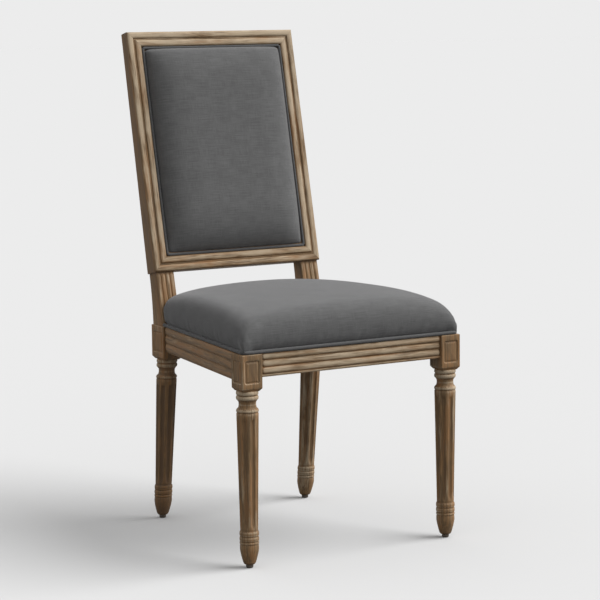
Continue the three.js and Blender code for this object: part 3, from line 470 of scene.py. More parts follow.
# The weave is laid on from above, the front and the side, and the surface's own direction picks between them
def makeLinen(name, leanDegrees):
    material, tree, shader = newMaterial(name)
    turn = (math.radians(leanDegrees), 0.0, 0.0)
    spot, facing = (
        wire(tree, "ShaderNodeVectorRotate", {"Vector": wire(tree, kind, None, output), "Rotation": turn},
             rotation_type="EULER_XYZ")
        for kind, output in (("ShaderNodeTexCoord", "Object"), ("ShaderNodeNewGeometry", "Normal"))
    )
    x, y, z = split(spot)
    side, front, top = split(vectorSums("POWER", vectorSums("ABSOLUTE", facing), (6.0, 6.0, 6.0)))
    whole = plus(side, front, top)
    layers = []
    for weight, across, along in ((side, y, z), (front, x, z), (top, x, y)):
        share = over(weight, whole)
        layers.append([times(value, share) for value in clothAt(across, along)])
    height, tone = (plus(*values) for values in zip(*layers))
    mottle = stretchedNoise(spot, 38.0, None, 4.0, 0.6)
    shareOfPale = plus(between(tone, 0.30, 0.70, 0.0, 0.75), between(mottle, 0.3, 0.7, 0.0, 0.25))
    colour = blended(shareOfPale, linenFinish["dark"], linenFinish["pale"])
    shade(shader, colour, None, height, *linenFinish["bump"], linenFinish["gloss"])
    return material


# Welts are cut on the bias, so their threads run slantwise round the cord
def makeWeltLinen():
    material, tree, shader = newMaterial("weltLinen")
    turn, along, _ = split(wire(tree, "ShaderNodeAttribute", None, "Vector", attribute_name="lay"))
    height, tone = clothAt(plus(turn, along), minus(along, turn))
    # the welts' darker greys are painted shade
    colour = blended(between(tone, 0.34, 0.66), *linenFinish["weltShade"])
    shade(shader, colour, None, height, *linenFinish["weltBump"], linenFinish["gloss"])
    return material


seatLinen = makeLinen("seatLinen", 0.0)
backLinen = makeLinen("backLinen", chair["backLean"])
weltLinen = makeWeltLinen()


# A plain material with two tones and a noise bump, for what the covers hide
def makeSimple(name, dark, pale, scale, stretch, roughness, bump, metallic=0.0):
    material, tree, shader = newMaterial(name)
    spot = wire(tree, "ShaderNodeTexCoord", None, "Object")
    broad = stretchedNoise(spot, scale, stretch, 4.0, 0.6)
    fine = stretchedNoise(spot, scale * 7.0, stretch, 2.0, 0.5)
    mixed = weighted((broad, 0.6), (fine, 0.4))
    colour = blended(between(mixed, 0.32, 0.68), rgb(*dark), rgb(*pale))
    rough = between(mixed, 0.3, 0.7, roughness - 0.06, roughness + 0.06)
    shade(shader, colour, rough, mixed, bump, 0.7, {"Metallic": metallic})
    return material


def makeWoven(name, dark, pale, pitch, roughness, bump):
    material, tree, shader = newMaterial(name)
    spot = wire(tree, "ShaderNodeTexCoord", None, "Object")
    x, y, _ = split(spot)
    stray = stretchedNoise(spot, 240.0, (1.0, 1.0, 1.0), 3.0, 0.6)
    mixed = weighted((crossing(x, y, pitch, 0.3), 0.6), (stray, 0.4))
    colour = blended(between(mixed, 0.2, 0.85), rgb(*dark), rgb(*pale))
    rough = between(stray, 0.3, 0.7, roughness - 0.05, roughness + 0.04)
    shade(shader, colour, rough, mixed, bump, 0.8, {"Specular IOR Level": 0.15})
    return material


# dark and pale tone, scale and stretch of the noise or pitch of the threads, roughness, depth of the bump
even = (1.0, 1.0, 1.0)
hiddenWood = makeSimple("beech", (0.36, 0.25, 0.15), (0.56, 0.42, 0.27), 60.0, (0.3, 1.0, 1.0), 0.7, 0.0002)
jute = makeWoven("juteWebbing", (0.20, 0.14, 0.075), (0.42, 0.32, 0.19), 0.0022, 0.92, 0.0006)
hessian = makeWoven("hessian", (0.24, 0.17, 0.09), (0.47, 0.37, 0.22), 0.0016, 0.94, 0.0006)
fibreboard = makeSimple("fibreboard", (0.25, 0.16, 0.09), (0.38, 0.27, 0.16), 160.0, even, 0.85, 0.0002)
blackCambric = makeWoven("blackCambric", (0.010, 0.010, 0.011), (0.034, 0.034, 0.036), 0.0011, 0.9, 0.0003)
zincSteel = makeSimple("zincPlatedSteel", (0.46, 0.45, 0.42), (0.62, 0.60, 0.55), 400.0, even, 0.36, 0.00005,
                       metallic=1.0)
nylon = makeSimple("brownNylon", (0.050, 0.036, 0.026), (0.085, 0.062, 0.045), 300.0, even, 0.5, 0.00008)
print("materials made")


# Geometry Nodes

def newShapeTree(name, inputs):
    return newTree(name, "GeometryNodeTree", {"geometry": "Geometry", **inputs, "material": "Material"},
                   {"geometry": "Geometry"})


def endShapeTree(tree, geometry, given):
    real = wire(tree, "GeometryNodeRealizeInstances", {"Geometry": geometry})
    endTree(tree, wire(tree, "GeometryNodeSetMaterial", {"Geometry": real, "Material": given["material"]}))


def marked(tree, name):
    return wire(tree, "GeometryNodeInputNamedAttribute", {"Name": name}, data_type="FLOAT")


def stored(geometry, name, value, kind="FLOAT"):
    inputs = {"Geometry": geometry, "Name": name, "Value": value}
    return wire(geometry.id_data, "GeometryNodeStoreNamedAttribute", inputs, data_type=kind, domain="POINT")


# Runs a tree over a path of points in metres; the modifier's values are set by the sockets' identifiers
def grown(name, points, tree, values, runsRound=False, marks=None):
    path = bpy.data.meshes.new(name + "Path")
    count = len(points)
    edges = [(i, (i + 1) % count) for i in range(count if runsRound else count - 1)]
    path.from_pydata([tuple(point) for point in points], edges, [])
    for label, numbers in (marks or {}).items():
        writeMarks(path, label, "FLOAT", numbers)
    piece = linked(name, path)
    modifier = piece.modifiers.new("nodes", "NODES")
    modifier.node_group = tree
    for item in tree.interface.items_tree:
        if item.name in values:
            modifier[item.identifier] = values[item.name]
    applied(piece)
    return piece


turning = {
    "sides": 128,
    "flutes": 8,
    "fluteHalfWidth": 4.9,
    "fluteDepth": 3.0,
    "fluteTop": 287.0,
    "fluteBottom": 76.5,
    "runOut": 17.0,  # length of the long sloping lower end of each flute
    "rake": 35.0,  # of the rear legs
    "start": (339.5, 17.5),
    # from the head down: height and radius where each part ends, and how far its middle swells out
    "parts": [
        (338.6, 19.0, 0.0), (330.4, 19.1, 2.2), (329.7, 19.1, 0.0), (321.4, 19.1, 2.2), (320.6, 18.6, 0.0),
        (319.6, 18.2, 0.0), (305.4, 18.8, -2.1), (304.6, 19.8, 0.0), (303.8, 20.0, 0.0), (298.3, 20.2, 1.2),
        (297.6, 19.7, 0.0), (296.8, 20.3, 0.0), (295.4, 20.95, 0.0), (76.4, 16.95, 0.0), (72.4, 16.8, 0.0),
        (71.2, 17.4, 0.0), (61.8, 17.6, 1.0), (61.2, 17.3, 0.0), (60.6, 17.6, 0.0), (52.0, 17.6, 0.95),
        (51.4, 17.2, 0.0), (50.8, 17.5, 0.0), (46.2, 17.4, 1.0), (45.5, 17.4, 0.0), (33.5, 17.5, 0.6),
        (13.0, 12.6, 0.5), (9.0, 10.9, 0.5), (6.6, 8.2, 0.6),
    ],
    "swellStep": 0.9,
    "plainStep": 4.0,
    "fluteTone": 0.28,  # how much of the relief's light and dark the flutes take
    "toneHeights": (0.0, 74.0, 90.0, 296.0, 306.0),
    "footShadeAndHeadTone": (-0.18, -0.14, 0.0, 0.0, 0.28),  # the feet are painted darker, painted shade where they stand in the chair's shadow, and the heads are lighter
    "legLightAndShade": {(-1, True): -0.24, (1, True): 0.2},  # by side and rear: the rear-left leg is painted darker, painted shade on the shadow side, and the rear-right one lighter, painted light
}


# Heights, radii and relief down the turning: what stands out beyond its neighbours is rubbed lighter
def turnedProfile():
    height, radius = turning["start"]
    rows = [(height, radius)]
    for newHeight, newRadius, swell in turning["parts"]:
        drop = height - newHeight
        if swell:
            steps = max(8, int(drop / turning["swellStep"]))
        else:
            steps = 1 if drop < 1.5 else max(4, int(drop / turning["plainStep"]))
        for t in np.arange(1, steps + 1) / steps:
            bulge = swell * math.sqrt(max(0.0, 1 - (2 * t - 1) ** 2))
            rows.append((height + (newHeight - height) * t, radius + (newRadius - radius) * t + bulge))
        height, radius = newHeight, newRadius
    heights, radii = np.array(rows).T
    highest = np.array([radii[np.abs(heights - h) < 6.5].max() for h in heights])
    lowest = np.array([radii[np.abs(heights - h) < 3.5].min() for h in heights])
    relief = np.clip(0.8 - (highest - radii) / 4.2, 0.16, 1.0)
    relief = np.where(radii - lowest > 0.7, relief, np.minimum(relief, 0.56))
    # the darkening of the feet by height is painted shade
    relief = relief + np.interp(heights, turning["toneHeights"], turning["footShadeAndHeadTone"])
    return heights, radii, np.clip(relief, 0.1, 1.0)


def makeLegTree():
    lengths = ("fluteHalfWidth", "fluteDepth", "fluteTop", "fluteBottom", "runOut", "rake", "rakeHeight")
    tree, given = newShapeTree("flutedLeg", {
        "sides": "Int", "flutes": "Int", **{name: "Float" for name in lengths}, "fluteTone": "Float",
        "place": "Vector", "grainShift": "Vector",
    })
    curve = wire(tree, "GeometryNodeMeshToCurve", {"Mesh": given["geometry"]})
    ring = wire(tree, "GeometryNodeCurvePrimitiveCircle", {"Resolution": given["sides"], "Radius": 1.0})
    bar = wire(tree, "GeometryNodeCurveToMesh",
               {"Curve": curve, "Profile Curve": ring, "Scale": marked(tree, "turn"), "Fill Caps": True})
    spot = wire(tree, "GeometryNodeInputPosition")
    x, y, z = split(spot)
    flat = wire(tree, "ShaderNodeCombineXYZ", {0: x, 1: y})
    radius = largest(vectorSums("LENGTH", flat, output=1), 0.0001)
    pitch = over(2 * math.pi, given["flutes"])
    turns = over(plus(sums("ARCTAN2", y, x), math.pi / 2), pitch)
    sideways = times(times(minus(turns, sums("ROUND", turns)), pitch), radius)
    half, depth, runOut = given["fluteHalfWidth"], given["fluteDepth"], given["runOut"]
    above = minus(z, minus(given["fluteTop"], half))
    below = times(minus(plus(given["fluteBottom"], runOut), z), over(half, runOut))
    endways = largest(largest(above, below), 0.0)
    away = plus(squared(sideways), squared(endways))
    hollowRadius = over(plus(squared(half), squared(depth)), times(depth, 2.0))
    chord = largest(minus(squared(hollowRadius), away), 0.0)
    cut = largest(minus(sums("SQRT", chord), minus(hollowRadius, depth)), 0.0)
    share = sums("POWER", over(cut, depth), 0.7)
    relief = largest(minus(marked(tree, "relief"), times(share, given["fluteTone"])), 0.0)
    leg = stored(bar, "relief", relief)
    leg = stored(leg, "board", vectorSums("ADD", spot, given["grainShift"]), "FLOAT_VECTOR")
    inwards = scaled(flat, times(over(cut, radius), -1.0))
    raked = times(given["rake"], minus(1.0, over(z, given["rakeHeight"])))
    offset = vectorSums("ADD", inwards, wire(tree, "ShaderNodeCombineXYZ", {1: raked}))
    offset = vectorSums("ADD", offset, given["place"])
    endShapeTree(tree, wire(tree, "GeometryNodeSetPosition", {"Geometry": leg, "Offset": offset}), given)
    return tree


legTree = makeLegTree()


def turnedLeg(side, isRear):
    heights, radii, relief = turnedProfile()
    # painted shade on the rear-left leg and painted light on the rear-right one
    relief = np.clip(relief + turning["legLightAndShade"].get((side, isRear), 0.0), 0.04, 1.0)
    seed = 0.31 * side + (0.17 if isRear else 0.0)
    lengths = ("fluteHalfWidth", "fluteDepth", "fluteTop", "fluteBottom", "runOut")
    x, y = legCentre(side, isRear)
    piece = grown("turnedLeg", [(0.0, 0.0, height * mm) for height in heights], legTree, {
        "sides": turning["sides"], "flutes": turning["flutes"], "fluteTone": turning["fluteTone"],
        **{name: turning[name] * mm for name in lengths},
        "rake": turning["rake"] * mm if isRear else 0.0, "rakeHeight": chair["blockBottom"] * mm,
        "place": tuple(placed([x, y, 0.0])), "grainShift": (seed, seed * 0.7, seed * 1.3), "material": oak,
    }, marks={"turn": radii * mm, "relief": relief})
    mesh = piece.data
    points = drawing(readAll(mesh.vertices, "co"))
    relief = readAll(mesh.attributes["relief"].data, "value", 1)
    board = readAll(mesh.attributes["board"].data, "vector") * 1000
    faces = [tuple(polygon.vertices) for polygon in mesh.polygons]
    bpy.data.objects.remove(piece)
    return island(outward(points, faces), relief, board)


block = {
    "edge": 1.3,  # how far the block's edges are rounded
    "underDrop": 6.0,
    "underInset": 5.0,
    "sideMargin": 5.2,
    "topMargin": 11.0,
    "bottomMargin": 9.0,
    "cornerRadius": 4.5,
    "sideTone": 0.16,
    "faceMark": 0.34,  # relief of the faces, of the edges and of the underside
    "edgeMark": 0.7,
    "underMark": 0.4,
    "sideSteps": 8,
    "cornerSteps": 5,
    # distance in from the tablet's rim, depth below the block's face, and relief
    "sinking": [(-1.2, 0.0, 0.42), (-0.5, 0.1, 0.6), (0.1, 0.45, 0.74), (1.0, 1.4, 0.5), (1.7, 1.9, 0.28),
                (2.4, 2.0, 0.24), (3.2, 1.8, 0.28), (4.6, 1.2, 0.36), (5.6, 0.8, 0.5), (6.4, 0.7, 0.3)],
}


# One ring of a tablet: a rectangle with rounded corners, the same number of points whatever its size
def tabletRing(x0, y0, x1, y1, radius):
    corners = [(x0 + radius, y0 + radius, 180), (x1 - radius, y0 + radius, 270),
               (x1 - radius, y1 - radius, 0), (x0 + radius, y1 - radius, 90)]
    arcs = []
    for cx, cy, start in corners:
        angles = np.radians(start + 90 * np.arange(block["cornerSteps"] + 1) / block["cornerSteps"])
        arcs.append(np.stack([cx + radius * np.cos(angles), cy + radius * np.sin(angles)], axis=-1))
    points = []
    for arc, following in zip(arcs, arcs[1:] + arcs[:1]):
        points += list(arc)
        for step in range(1, block["sideSteps"]):
            points.append(arc[-1] + (following[0] - arc[-1]) * step / block["sideSteps"])
    return points


def blockFace(width, low, high, hasTablet):
    rings = [(tabletRing(0, low, width, high, 0.0), 0.0, block["faceMark"])]
    if hasTablet:
        side, bottom, top = block["sideMargin"], low + block["bottomMargin"], high - block["topMargin"]
        for inset, depth, relief in block["sinking"]:
            radius = max(0.8, block["cornerRadius"] - inset)
            ring = tabletRing(side + inset, bottom + inset, width - side - inset, top - inset, radius)
            rings.append((ring, depth, relief))
    points = np.array([(x, y, -depth) for ring, depth, _ in rings for x, y in ring])
    relief = np.array([mark for ring, _, mark in rings for _ in ring])
    sides = len(rings[0][0])
    return points, bands(len(rings), sides) + [tuple(range(len(points) - sides, len(points)))], relief


# How many pairs of a box's sides the points lie on, within a gap
def sidesMet(points, ends, gap):
    gaps = [np.min([np.abs(values - end) for end in pair], axis=0)
            for values, pair in zip(np.asarray(points).T, ends)]
    return sum(distance < gap for distance in gaps)


def legBlock(side, isRear):
    x, y = legCentre(side, isRear)
    deep = chair["rearBlockDepth"] if isRear else chair["blockSize"]
    x0, x1 = x - chair["blockSize"] / 2, x + chair["blockSize"] / 2
    y0, y1 = y - deep / 2, y + deep / 2
    low, high = chair["blockBottom"], chair["blockTop"]
    ends = ((x0, x1), (y0, y1), (low, high))
    sides = [  # start corner, way across, way out, width, has a tablet
        ((x0, y0), (1, 0), (0, -1), x1 - x0, not isRear),
        ((x1, y0), (0, 1), (1, 0), y1 - y0, side > 0),
        ((x1, y1), (-1, 0), (0, 1), x1 - x0, False),
        ((x0, y1), (0, -1), (-1, 0), y1 - y0, side < 0),
    ]
    work = bmesh.new()
    mark = work.verts.layers.float.new("relief")
    for (startX, startY), (wayX, wayY), (outX, outY), faceWidth, hasTablet in sides:
        points, faces, relief = blockFace(faceWidth, low, high, hasTablet)
        corners = []
        for (u, v, out), value in zip(points, relief + block["sideTone"] * abs(outX)):
            vert = work.verts.new((startX + wayX * u + outX * out, startY + wayY * u + outY * out, v))
            vert[mark] = value
            corners.append(vert)
        for face in faces:
            chosen = list(dict.fromkeys(corners[i] for i in face))
            if len(chosen) > 2:
                work.faces.new(chosen)
    bmesh.ops.remove_doubles(work, verts=work.verts, dist=0.001)

    def rimAt(z):
        return [e for e in work.edges if e.is_boundary and all(abs(v.co.z - z) < 0.001 for v in e.verts)]

    made = bmesh.ops.extrude_edge_only(work, edges=rimAt(low))["geom"]
    inset = block["underInset"]
    for vert in [g for g in made if isinstance(g, bmesh.types.BMVert)]:
        vert.co.x = mapped(vert.co.x, x0, x1, x0 + inset, x1 - inset)
        vert.co.y = mapped(vert.co.y, y0, y1, y0 + inset, y1 - inset)
        vert.co.z = low - block["underDrop"]
        vert[mark] = block["underMark"]
    bmesh.ops.contextual_create(work, geom=[g for g in made if isinstance(g, bmesh.types.BMEdge)])
    bmesh.ops.contextual_create(work, geom=rimAt(high))
    bmesh.ops.recalc_face_normals(work, faces=work.faces)
    sharp = [e for e in work.edges if len(e.link_faces) == 2 and e.calc_face_angle() > 0.5
             and min(sidesMet([v.co for v in e.verts], ends, 0.01)) >= 2]
    bmesh.ops.bevel(work, geom=sharp, offset=block["edge"], offset_type="OFFSET", segments=3, profile=0.5,
                    affect="EDGES", clamp_overlap=True)
    work.verts.index_update()
    points = np.array([v.co for v in work.verts])
    faces = [tuple(v.index for v in f.verts) for f in work.faces]
    relief = np.array([v[mark] for v in work.verts])
    work.free()
    relief = np.where(sidesMet(points, ends, block["edge"] * 0.75) >= 2, block["edgeMark"], relief)
    board = points + np.array([side * 210.0, 70.0 if isRear else 0.0, 130.0])
    return island(outward(points, faces), relief, board)


# The back frame, drawn in its own leaning plane
atRear = 200.0  # stands for the depth of the tapering rear face, and depths over 100 are counted from it
back = {
    "sideOverhang": 1.5,  # how far the frame stands outside the rear blocks
    "setIn": 27.0,
    "bottomZ": 518.0,
    "stileWidth": 44.5,
    "topThickness": 28.0,
    "bottomThickness": 38.0,
    "mouldingWidth": 30.5,
    "rise": 4.8,
    "groove": 2.6,
    "grooveDepth": 3.2,
    "grooveMark": 0.52,
    # the crest rail is painted lighter, painted light from above, and the lower rail a little darker, painted
    # shade
    "crestLight": 0.26,
    "lowerRailShade": -0.05,
    "beadMarks": (0.24, 0.66),  # relief at a bead's foot and how much its crown adds
    "beadSteps": 12,
    "flank": 3.3,  # above 2 the beads have fuller shoulders than a half circle's
    "frontRebate": 9.0,
    "rearRebate": 7.0,
    "rearMargin": 33.0,
    "mitreGap": 0.16,
    "stripDepth": 5.3,
    "edge": 1.6,
    "steps": 40,
    # each board's own place in the oak's pattern
    "crestGrain": 37.0,
    "lowerGrain": 53.0,
    "stileGrain": 71.0,
}
lean = math.radians(chair["backLean"])
backHalf = chair["rearWidth"] / 2 + back["sideOverhang"]
backBottomY = chair["frameDepth"] - back["setIn"]
backHeight = (chair["top"] - back["bottomZ"] + back["rise"] * math.sin(lean)) / math.cos(lean)


# Points over a plane that leans back from a start at the bottom
def leaning(start, angle, x, height, depth):
    x, height, depth = np.broadcast_arrays(*(np.asarray(value, float) for value in (x, height, depth)))
    y = start[0] + height * math.sin(angle) + depth * math.cos(angle)
    z = start[1] + height * math.cos(angle) - depth * math.sin(angle)
    return np.stack([x, y, z], axis=-1)


def backPoint(x, height, depth):
    return leaning((backBottomY, back["bottomZ"]), lean, x, height, depth)


def backDepth(height):
    return mapped(height, 0, backHeight, back["bottomThickness"], back["topThickness"])


def fromRear(height, depth):
    return np.where(depth > 100, backDepth(height) - (atRear - depth), depth)


def beadRows(start, width):
    rows = []
    for step in range(back["beadSteps"] + 1):
        t = -math.cos(math.pi * step / back["beadSteps"])
        height = back["rise"] * (1 - abs(t) ** back["flank"]) ** (1 / 2.0)
        mark = back["beadMarks"][0] + back["beadMarks"][1] * min(1.0, height / back["rise"] * 1.02) ** 0.9
        rows.append((start + width * (1 + t) / 2, back["rise"] - height, mark))
    return rows


# The moulding's face as (in from the edge, depth, relief) rows: two beads with a groove between them
def mouldingRows():
    bead = (back["mouldingWidth"] - back["groove"]) / 2
    groove = [(bead + inward, back["grooveDepth"], back["grooveMark"])
              for inward in (0.3, back["groove"] - 0.3)]
    return beadRows(0.0, bead) + groove + beadRows(bead + back["groove"], bead)


def stripSection():
    rows = mouldingRows()
    rows[0] = (rows[0][0], rows[0][1], 0.5)
    return rows + [(back["mouldingWidth"], back["stripDepth"], 0.1), (0.0, back["stripDepth"], 0.2)]


# Sweeps (s, depth) rows along a member: place(s, along) gives x and height, and ends(s) its two ends
def member(rows, place, ends, steps, seed):
    s, depth, relief = np.array(rows).T
    start, end = ends(s)

    def station(t):
        along = start + (end - start) * t
        x, height = place(s, along)
        lies = fromRear(height, depth)
        return backPoint(x, height, lies), relief, grainAt(s, lies, along, seed)

    return swept(station(t) for t in np.linspace(0, 1, steps + 1))


def mitred(s):
    reach = backHalf - s - back["mitreGap"]
    return -reach, reach


def coreSection():
    margin, rebate, wide = back["rearMargin"], back["rearRebate"], back["stileWidth"]
    # the plain faces take a low relief, which darkens them with wax: painted shade on the stiles' side faces
    return rounded([
        (0.0, back["stripDepth"], 0, 0.2), (wide, back["stripDepth"] + 1.2, 0, 0.2),
        (wide, atRear - rebate, 0, 0.2), (margin, atRear - rebate, 0, 0.1),
        (margin, atRear, back["edge"] * 0.6, 0.5), (0.0, atRear, back["edge"], 0.22),
    ], wear=0.45)


def crestRail():
    margin, wide, front = back["rearMargin"], back["stileWidth"], back["frontRebate"]
    rebate = atRear - back["rearRebate"]
    behind = rounded([
        (0.0, back["stripDepth"], 0, 0.6), (0.0, atRear, back["edge"], 0.6), (margin, atRear, 1.0, 0.6),
        (margin, rebate, 0, 0.1), (wide, rebate, 0, 0.2), (wide, front, 0, 0.2),
        (back["mouldingWidth"], front, 0, 0.1),
    ])
    # painted light on the crest
    rows = [(s, depth, min(1.0, mark + back["crestLight"])) for s, depth, mark in mouldingRows()]
    rows[0] = (0.0, rows[0][1], 0.8)
    return member(rows + behind[::-1], lambda s, along: (along, backHeight - s), mitred, back["steps"],
                  back["crestGrain"])


def lowerRail():
    # painted shade on the lower rail
    rows = [(s, depth, mark + back["lowerRailShade"]) for s, depth, mark in stripSection()]
    half = backHalf - back["stileWidth"] - 0.3
    seed = back["lowerGrain"]
    return [
        member(rows, lambda s, along: (along, s), mitred, back["steps"], seed),
        member(coreSection(), lambda s, along: (along, s), lambda s: (-half + 0 * s, half + 0 * s), 4, seed),
    ]


def stileStrip(side):
    gap = back["mitreGap"]
    return member(stripSection(), lambda s, along: (side * (backHalf - s), along),
                  lambda s: (s + gap, backHeight - s - gap), back["steps"], back["stileGrain"] * side)


# The stile behind its moulding: below the rear rebate it is solid, and at the top it is cut to the mitre
def stileCore(side):
    gap, margin, wide = back["mitreGap"], back["rearMargin"], back["stileWidth"]
    s, depth, relief = np.array(coreSection()).T
    solid = np.where((s > margin - 0.01) & (depth > 100), atRear, depth)
    heights = list(np.linspace(margin, backHeight - wide, 30)[1:])

    def station(height, depths):
        along = backHeight - s - gap if height is None else np.full(len(s), height)
        lies = fromRear(along, depths)
        ring = backPoint(side * (backHalf - s), along, lies)
        return ring, relief, grainAt(s, lies, along, back["stileGrain"] * side)

    stations = [(0.0, solid), (margin, solid), (margin, depth)]
    stations += [(height, depth) for height in heights + [None]]
    return swept(station(*each) for each in stations)


neck = {
    "width": 40.5,
    "sideInset": 2.5,
    "footInset": 3.0,
    "bendShare": 0.45,
    "reeds": 4,
    "reedSteps": 10,
    "reedDepth": 2.6,
    "reedFlank": 2.3,
    "reedMarks": (0.16, 0.58),  # relief between the reeds and how much their crowns add
    "domeStart": 3.0,  # below the back frame
    "domeLength": 7.0,
    "edge": 1.6,
    "steps": 44,
    "front": 5.3,
    "clearance": 0.1,  # the neck stays this far inside the stile's faces
    "footDrop": 1.2,  # how far it runs on into the block
}


def neckLine(depth, footY, t):
    top = backPoint(0, 0, depth)[1:]
    bend = backPoint(0, -(back["bottomZ"] - chair["blockTop"]) * neck["bendShare"], depth)[1:]
    return bow(top, bend, np.array([footY, chair["blockTop"]]), t)


def neckFront(t, clearance=0.0):
    return neckLine(neck["front"] + clearance, rearBlockFront + neck["footInset"], t)


def neckIsland(side):
    outer = chair["rearWidth"] / 2 - neck["sideInset"]
    width, edge, count, clearance = neck["width"], neck["edge"], neck["reeds"], neck["clearance"]
    turns = [math.pi * k / neck["reedSteps"] for k in range(neck["reedSteps"] + 1)]
    steps = [(1 - math.cos(turn)) / 2 / count for turn in turns]
    across = np.unique(np.round([i / count + step for i in range(count) for step in steps], 5))
    tau = (across * count) % 1.0 * 2 - 1
    tau[-1] = 1.0

    # t runs from 0 at the back frame to 1 at the block; outside that the neck runs on into its neighbours
    def station(t):
        if t < 0:
            rise = -t * 100
            depths = (neck["front"] + clearance, backDepth(rise) - clearance)
            front, rear = (backPoint(0, rise, depth)[1:] for depth in depths)
        else:
            rearFoot = chair["frameDepth"] - neck["footInset"]
            front = neckFront(min(t, 1.0), clearance)
            rear = neckLine(back["bottomThickness"] - clearance, rearFoot, min(t, 1.0))
            if t > 1:
                front, rear = front - [0, neck["footDrop"]], rear - [0, neck["footDrop"]]
        below = np.linalg.norm(front - neckFront(0.0, clearance)) if t > 0 else 0.0
        ending = np.clip((neck["domeStart"] + neck["domeLength"] - below) / neck["domeLength"], 0, 1)
        dome = np.sqrt(np.clip(1 - np.abs(tau) ** neck["reedFlank"] - ending ** 2, 0, 1))
        thick = np.linalg.norm(rear - front)
        rows = [(width * a, neck["reedDepth"] * (1 - d), neck["reedMarks"][0] + neck["reedMarks"][1] * d)
                for a, d in zip(across, dome)]
        rows += rounded([(width, thick * 0.5, 0, 0.4), (width, thick, edge, 0.4), (0.0, thick, edge, 0.4),
                         (0.0, thick * 0.5, 0, 0.4)], wear=0.7)
        u, depth, marks = np.array(rows).T
        ring = np.column_stack([side * (outer - u), front + np.outer(depth, rear - front) / thick])
        return ring, marks, grainAt(u, depth, -below, back["stileGrain"] * side)

    return swept(station(t) for t in (-0.06, -0.02, *np.linspace(0, 1, neck["steps"] + 1) ** 0.9, 1.012))


rail = {
    "height": 44.5,
    "footHeight": 4.3,  # the flat strip under the reeds
    "sideHeight": 51.5,
    "sideFootHeight": 1.1,
    "thickness": 25.0,
    "inset": 3.0,
    "reeds": 3,
    "reedSteps": 14,
    "reedRise": 3.0,
    "reedGap": 1.6,
    "reedFlank": 2.4,
    "footRecess": 2.0,
    "endDome": 5.5,
    "endFlat": 1.5,
    "gap": 0.3,
    "rearChamfer": 2.0,
    "shades": (0.4, 0.9),  # relief marks at the bottom and on the crown of a reed
    # the side rails take darker marks than the front rail: painted shade on the sides that face away from the
    # light
    "sideRailPaintedShade": (0.32, 0.46),
}
railBottom = chair["blockTop"] - rail["height"]
railTurn = math.atan2((chair["frontWidth"] - chair["rearWidth"]) / 2, rearBlockFront - chair["blockSize"])


def reededRail(corner, way, inward, length, tall, foot, shades, seed):
    rise, recess, thickness = rail["reedRise"], rail["footRecess"], rail["thickness"]
    dome, flat = rail["endDome"], rail["endFlat"]
    pitch = (tall - foot) / rail["reeds"]
    ending = [0.0, flat] + [flat + dome * (1 - math.cos(math.pi / 2 * k / 7)) for k in range(1, 8)]
    middle = list(np.linspace(flat + dome, length - flat - dome, 50)[1:-1])

    def station(stop):
        ended = np.clip((flat + dome - min(stop, length - stop)) / dome, 0, 1)
        rows = []
        for reed in range(rail["reeds"]):
            for k in range(rail["reedSteps"] + 1):
                tau = -math.cos(math.pi * k / rail["reedSteps"])
                high = math.sqrt(max(0.0, 1 - abs(tau) ** rail["reedFlank"] - ended ** 2))
                up = tall - reed * pitch - (pitch - rail["reedGap"]) * (1 + tau) / 2
                rows.append((rise * (1 - high), up, shades[0] + (shades[1] - shades[0]) * high ** 0.9))
        rows += [
            (rise, foot + 0.2, shades[0]), (recess + 0.3, foot - 0.1, 0.5), (recess, foot * 0.8, shades[1]),
            (recess, foot * 0.4, 0.6), (recess + 0.3, foot * 0.2, shades[1]), (recess + 1.0, 0.0, 0.6),
            (thickness, 0.0, 0.4), (thickness, tall, 0.4), (rise + 0.6, tall, 0.4),
        ]
        depth, up, marks = np.array(rows).T
        ring = np.column_stack([corner + way * stop + np.outer(depth, inward), chair["blockTop"] - tall + up])
        board = np.column_stack([depth + seed, up - seed * 0.7, np.full(len(up), stop + 4.3 * seed)])
        return ring, marks, board

    return swept(station(stop) for stop in ending + middle + [length - stop for stop in reversed(ending)])


def frontRail():
    half = chair["frontWidth"] / 2 - chair["blockSize"] - rail["gap"]
    return reededRail(np.array([-half, rail["inset"]]), np.array([1.0, 0.0]), np.array([0.0, 1.0]), 2 * half,
                      rail["height"], rail["footHeight"], rail["shades"], 19.0)


def sideRail(side):
    inward = np.array([-side * math.cos(railTurn), -math.sin(railTurn)])
    start = np.array([side * (chair["frontWidth"] / 2 - rail["inset"]), chair["blockSize"]])
    end = np.array([side * (chair["rearWidth"] / 2 - rail["inset"]), rearBlockFront])
    way = (end - start) / np.linalg.norm(end - start)
    start, end = start + way * rail["gap"] * 1.3, end - way * rail["gap"] * 1.3
    # the side rails' darker marks are painted shade
    made = reededRail(start, way, inward, np.linalg.norm(end - start), rail["sideHeight"],
                      rail["sideFootHeight"], rail["sideRailPaintedShade"], 29.0 * side)
    # both ends are cut square to the chair
    depth = (made["points"][:, :2] - start) @ inward
    made["points"][:, :2] += np.outer(depth * math.tan(railTurn), way)
    return made


def rearRail():
    half = chair["rearWidth"] / 2 - chair["blockSize"] - rail["gap"]
    y = chair["frameDepth"] - rail["inset"]
    chamfer, thickness, height = rail["rearChamfer"], rail["thickness"], rail["height"]
    depth, up, marks = np.array(rounded([
        (0.0, 0.0, chamfer, 0.6), (thickness, 0.0, 1.0, 0.5),
        (thickness, height, 1.0, 0.5), (0.0, height, chamfer, 0.6),
    ], 4)).T

    def station(x):
        across = np.full(len(up), x)
        ring = np.column_stack([across, y - depth, railBottom + up])
        return ring, marks, np.column_stack([depth + 91, up, across + 77])

    return swept(station(x) for x in np.linspace(-half, half, 24))


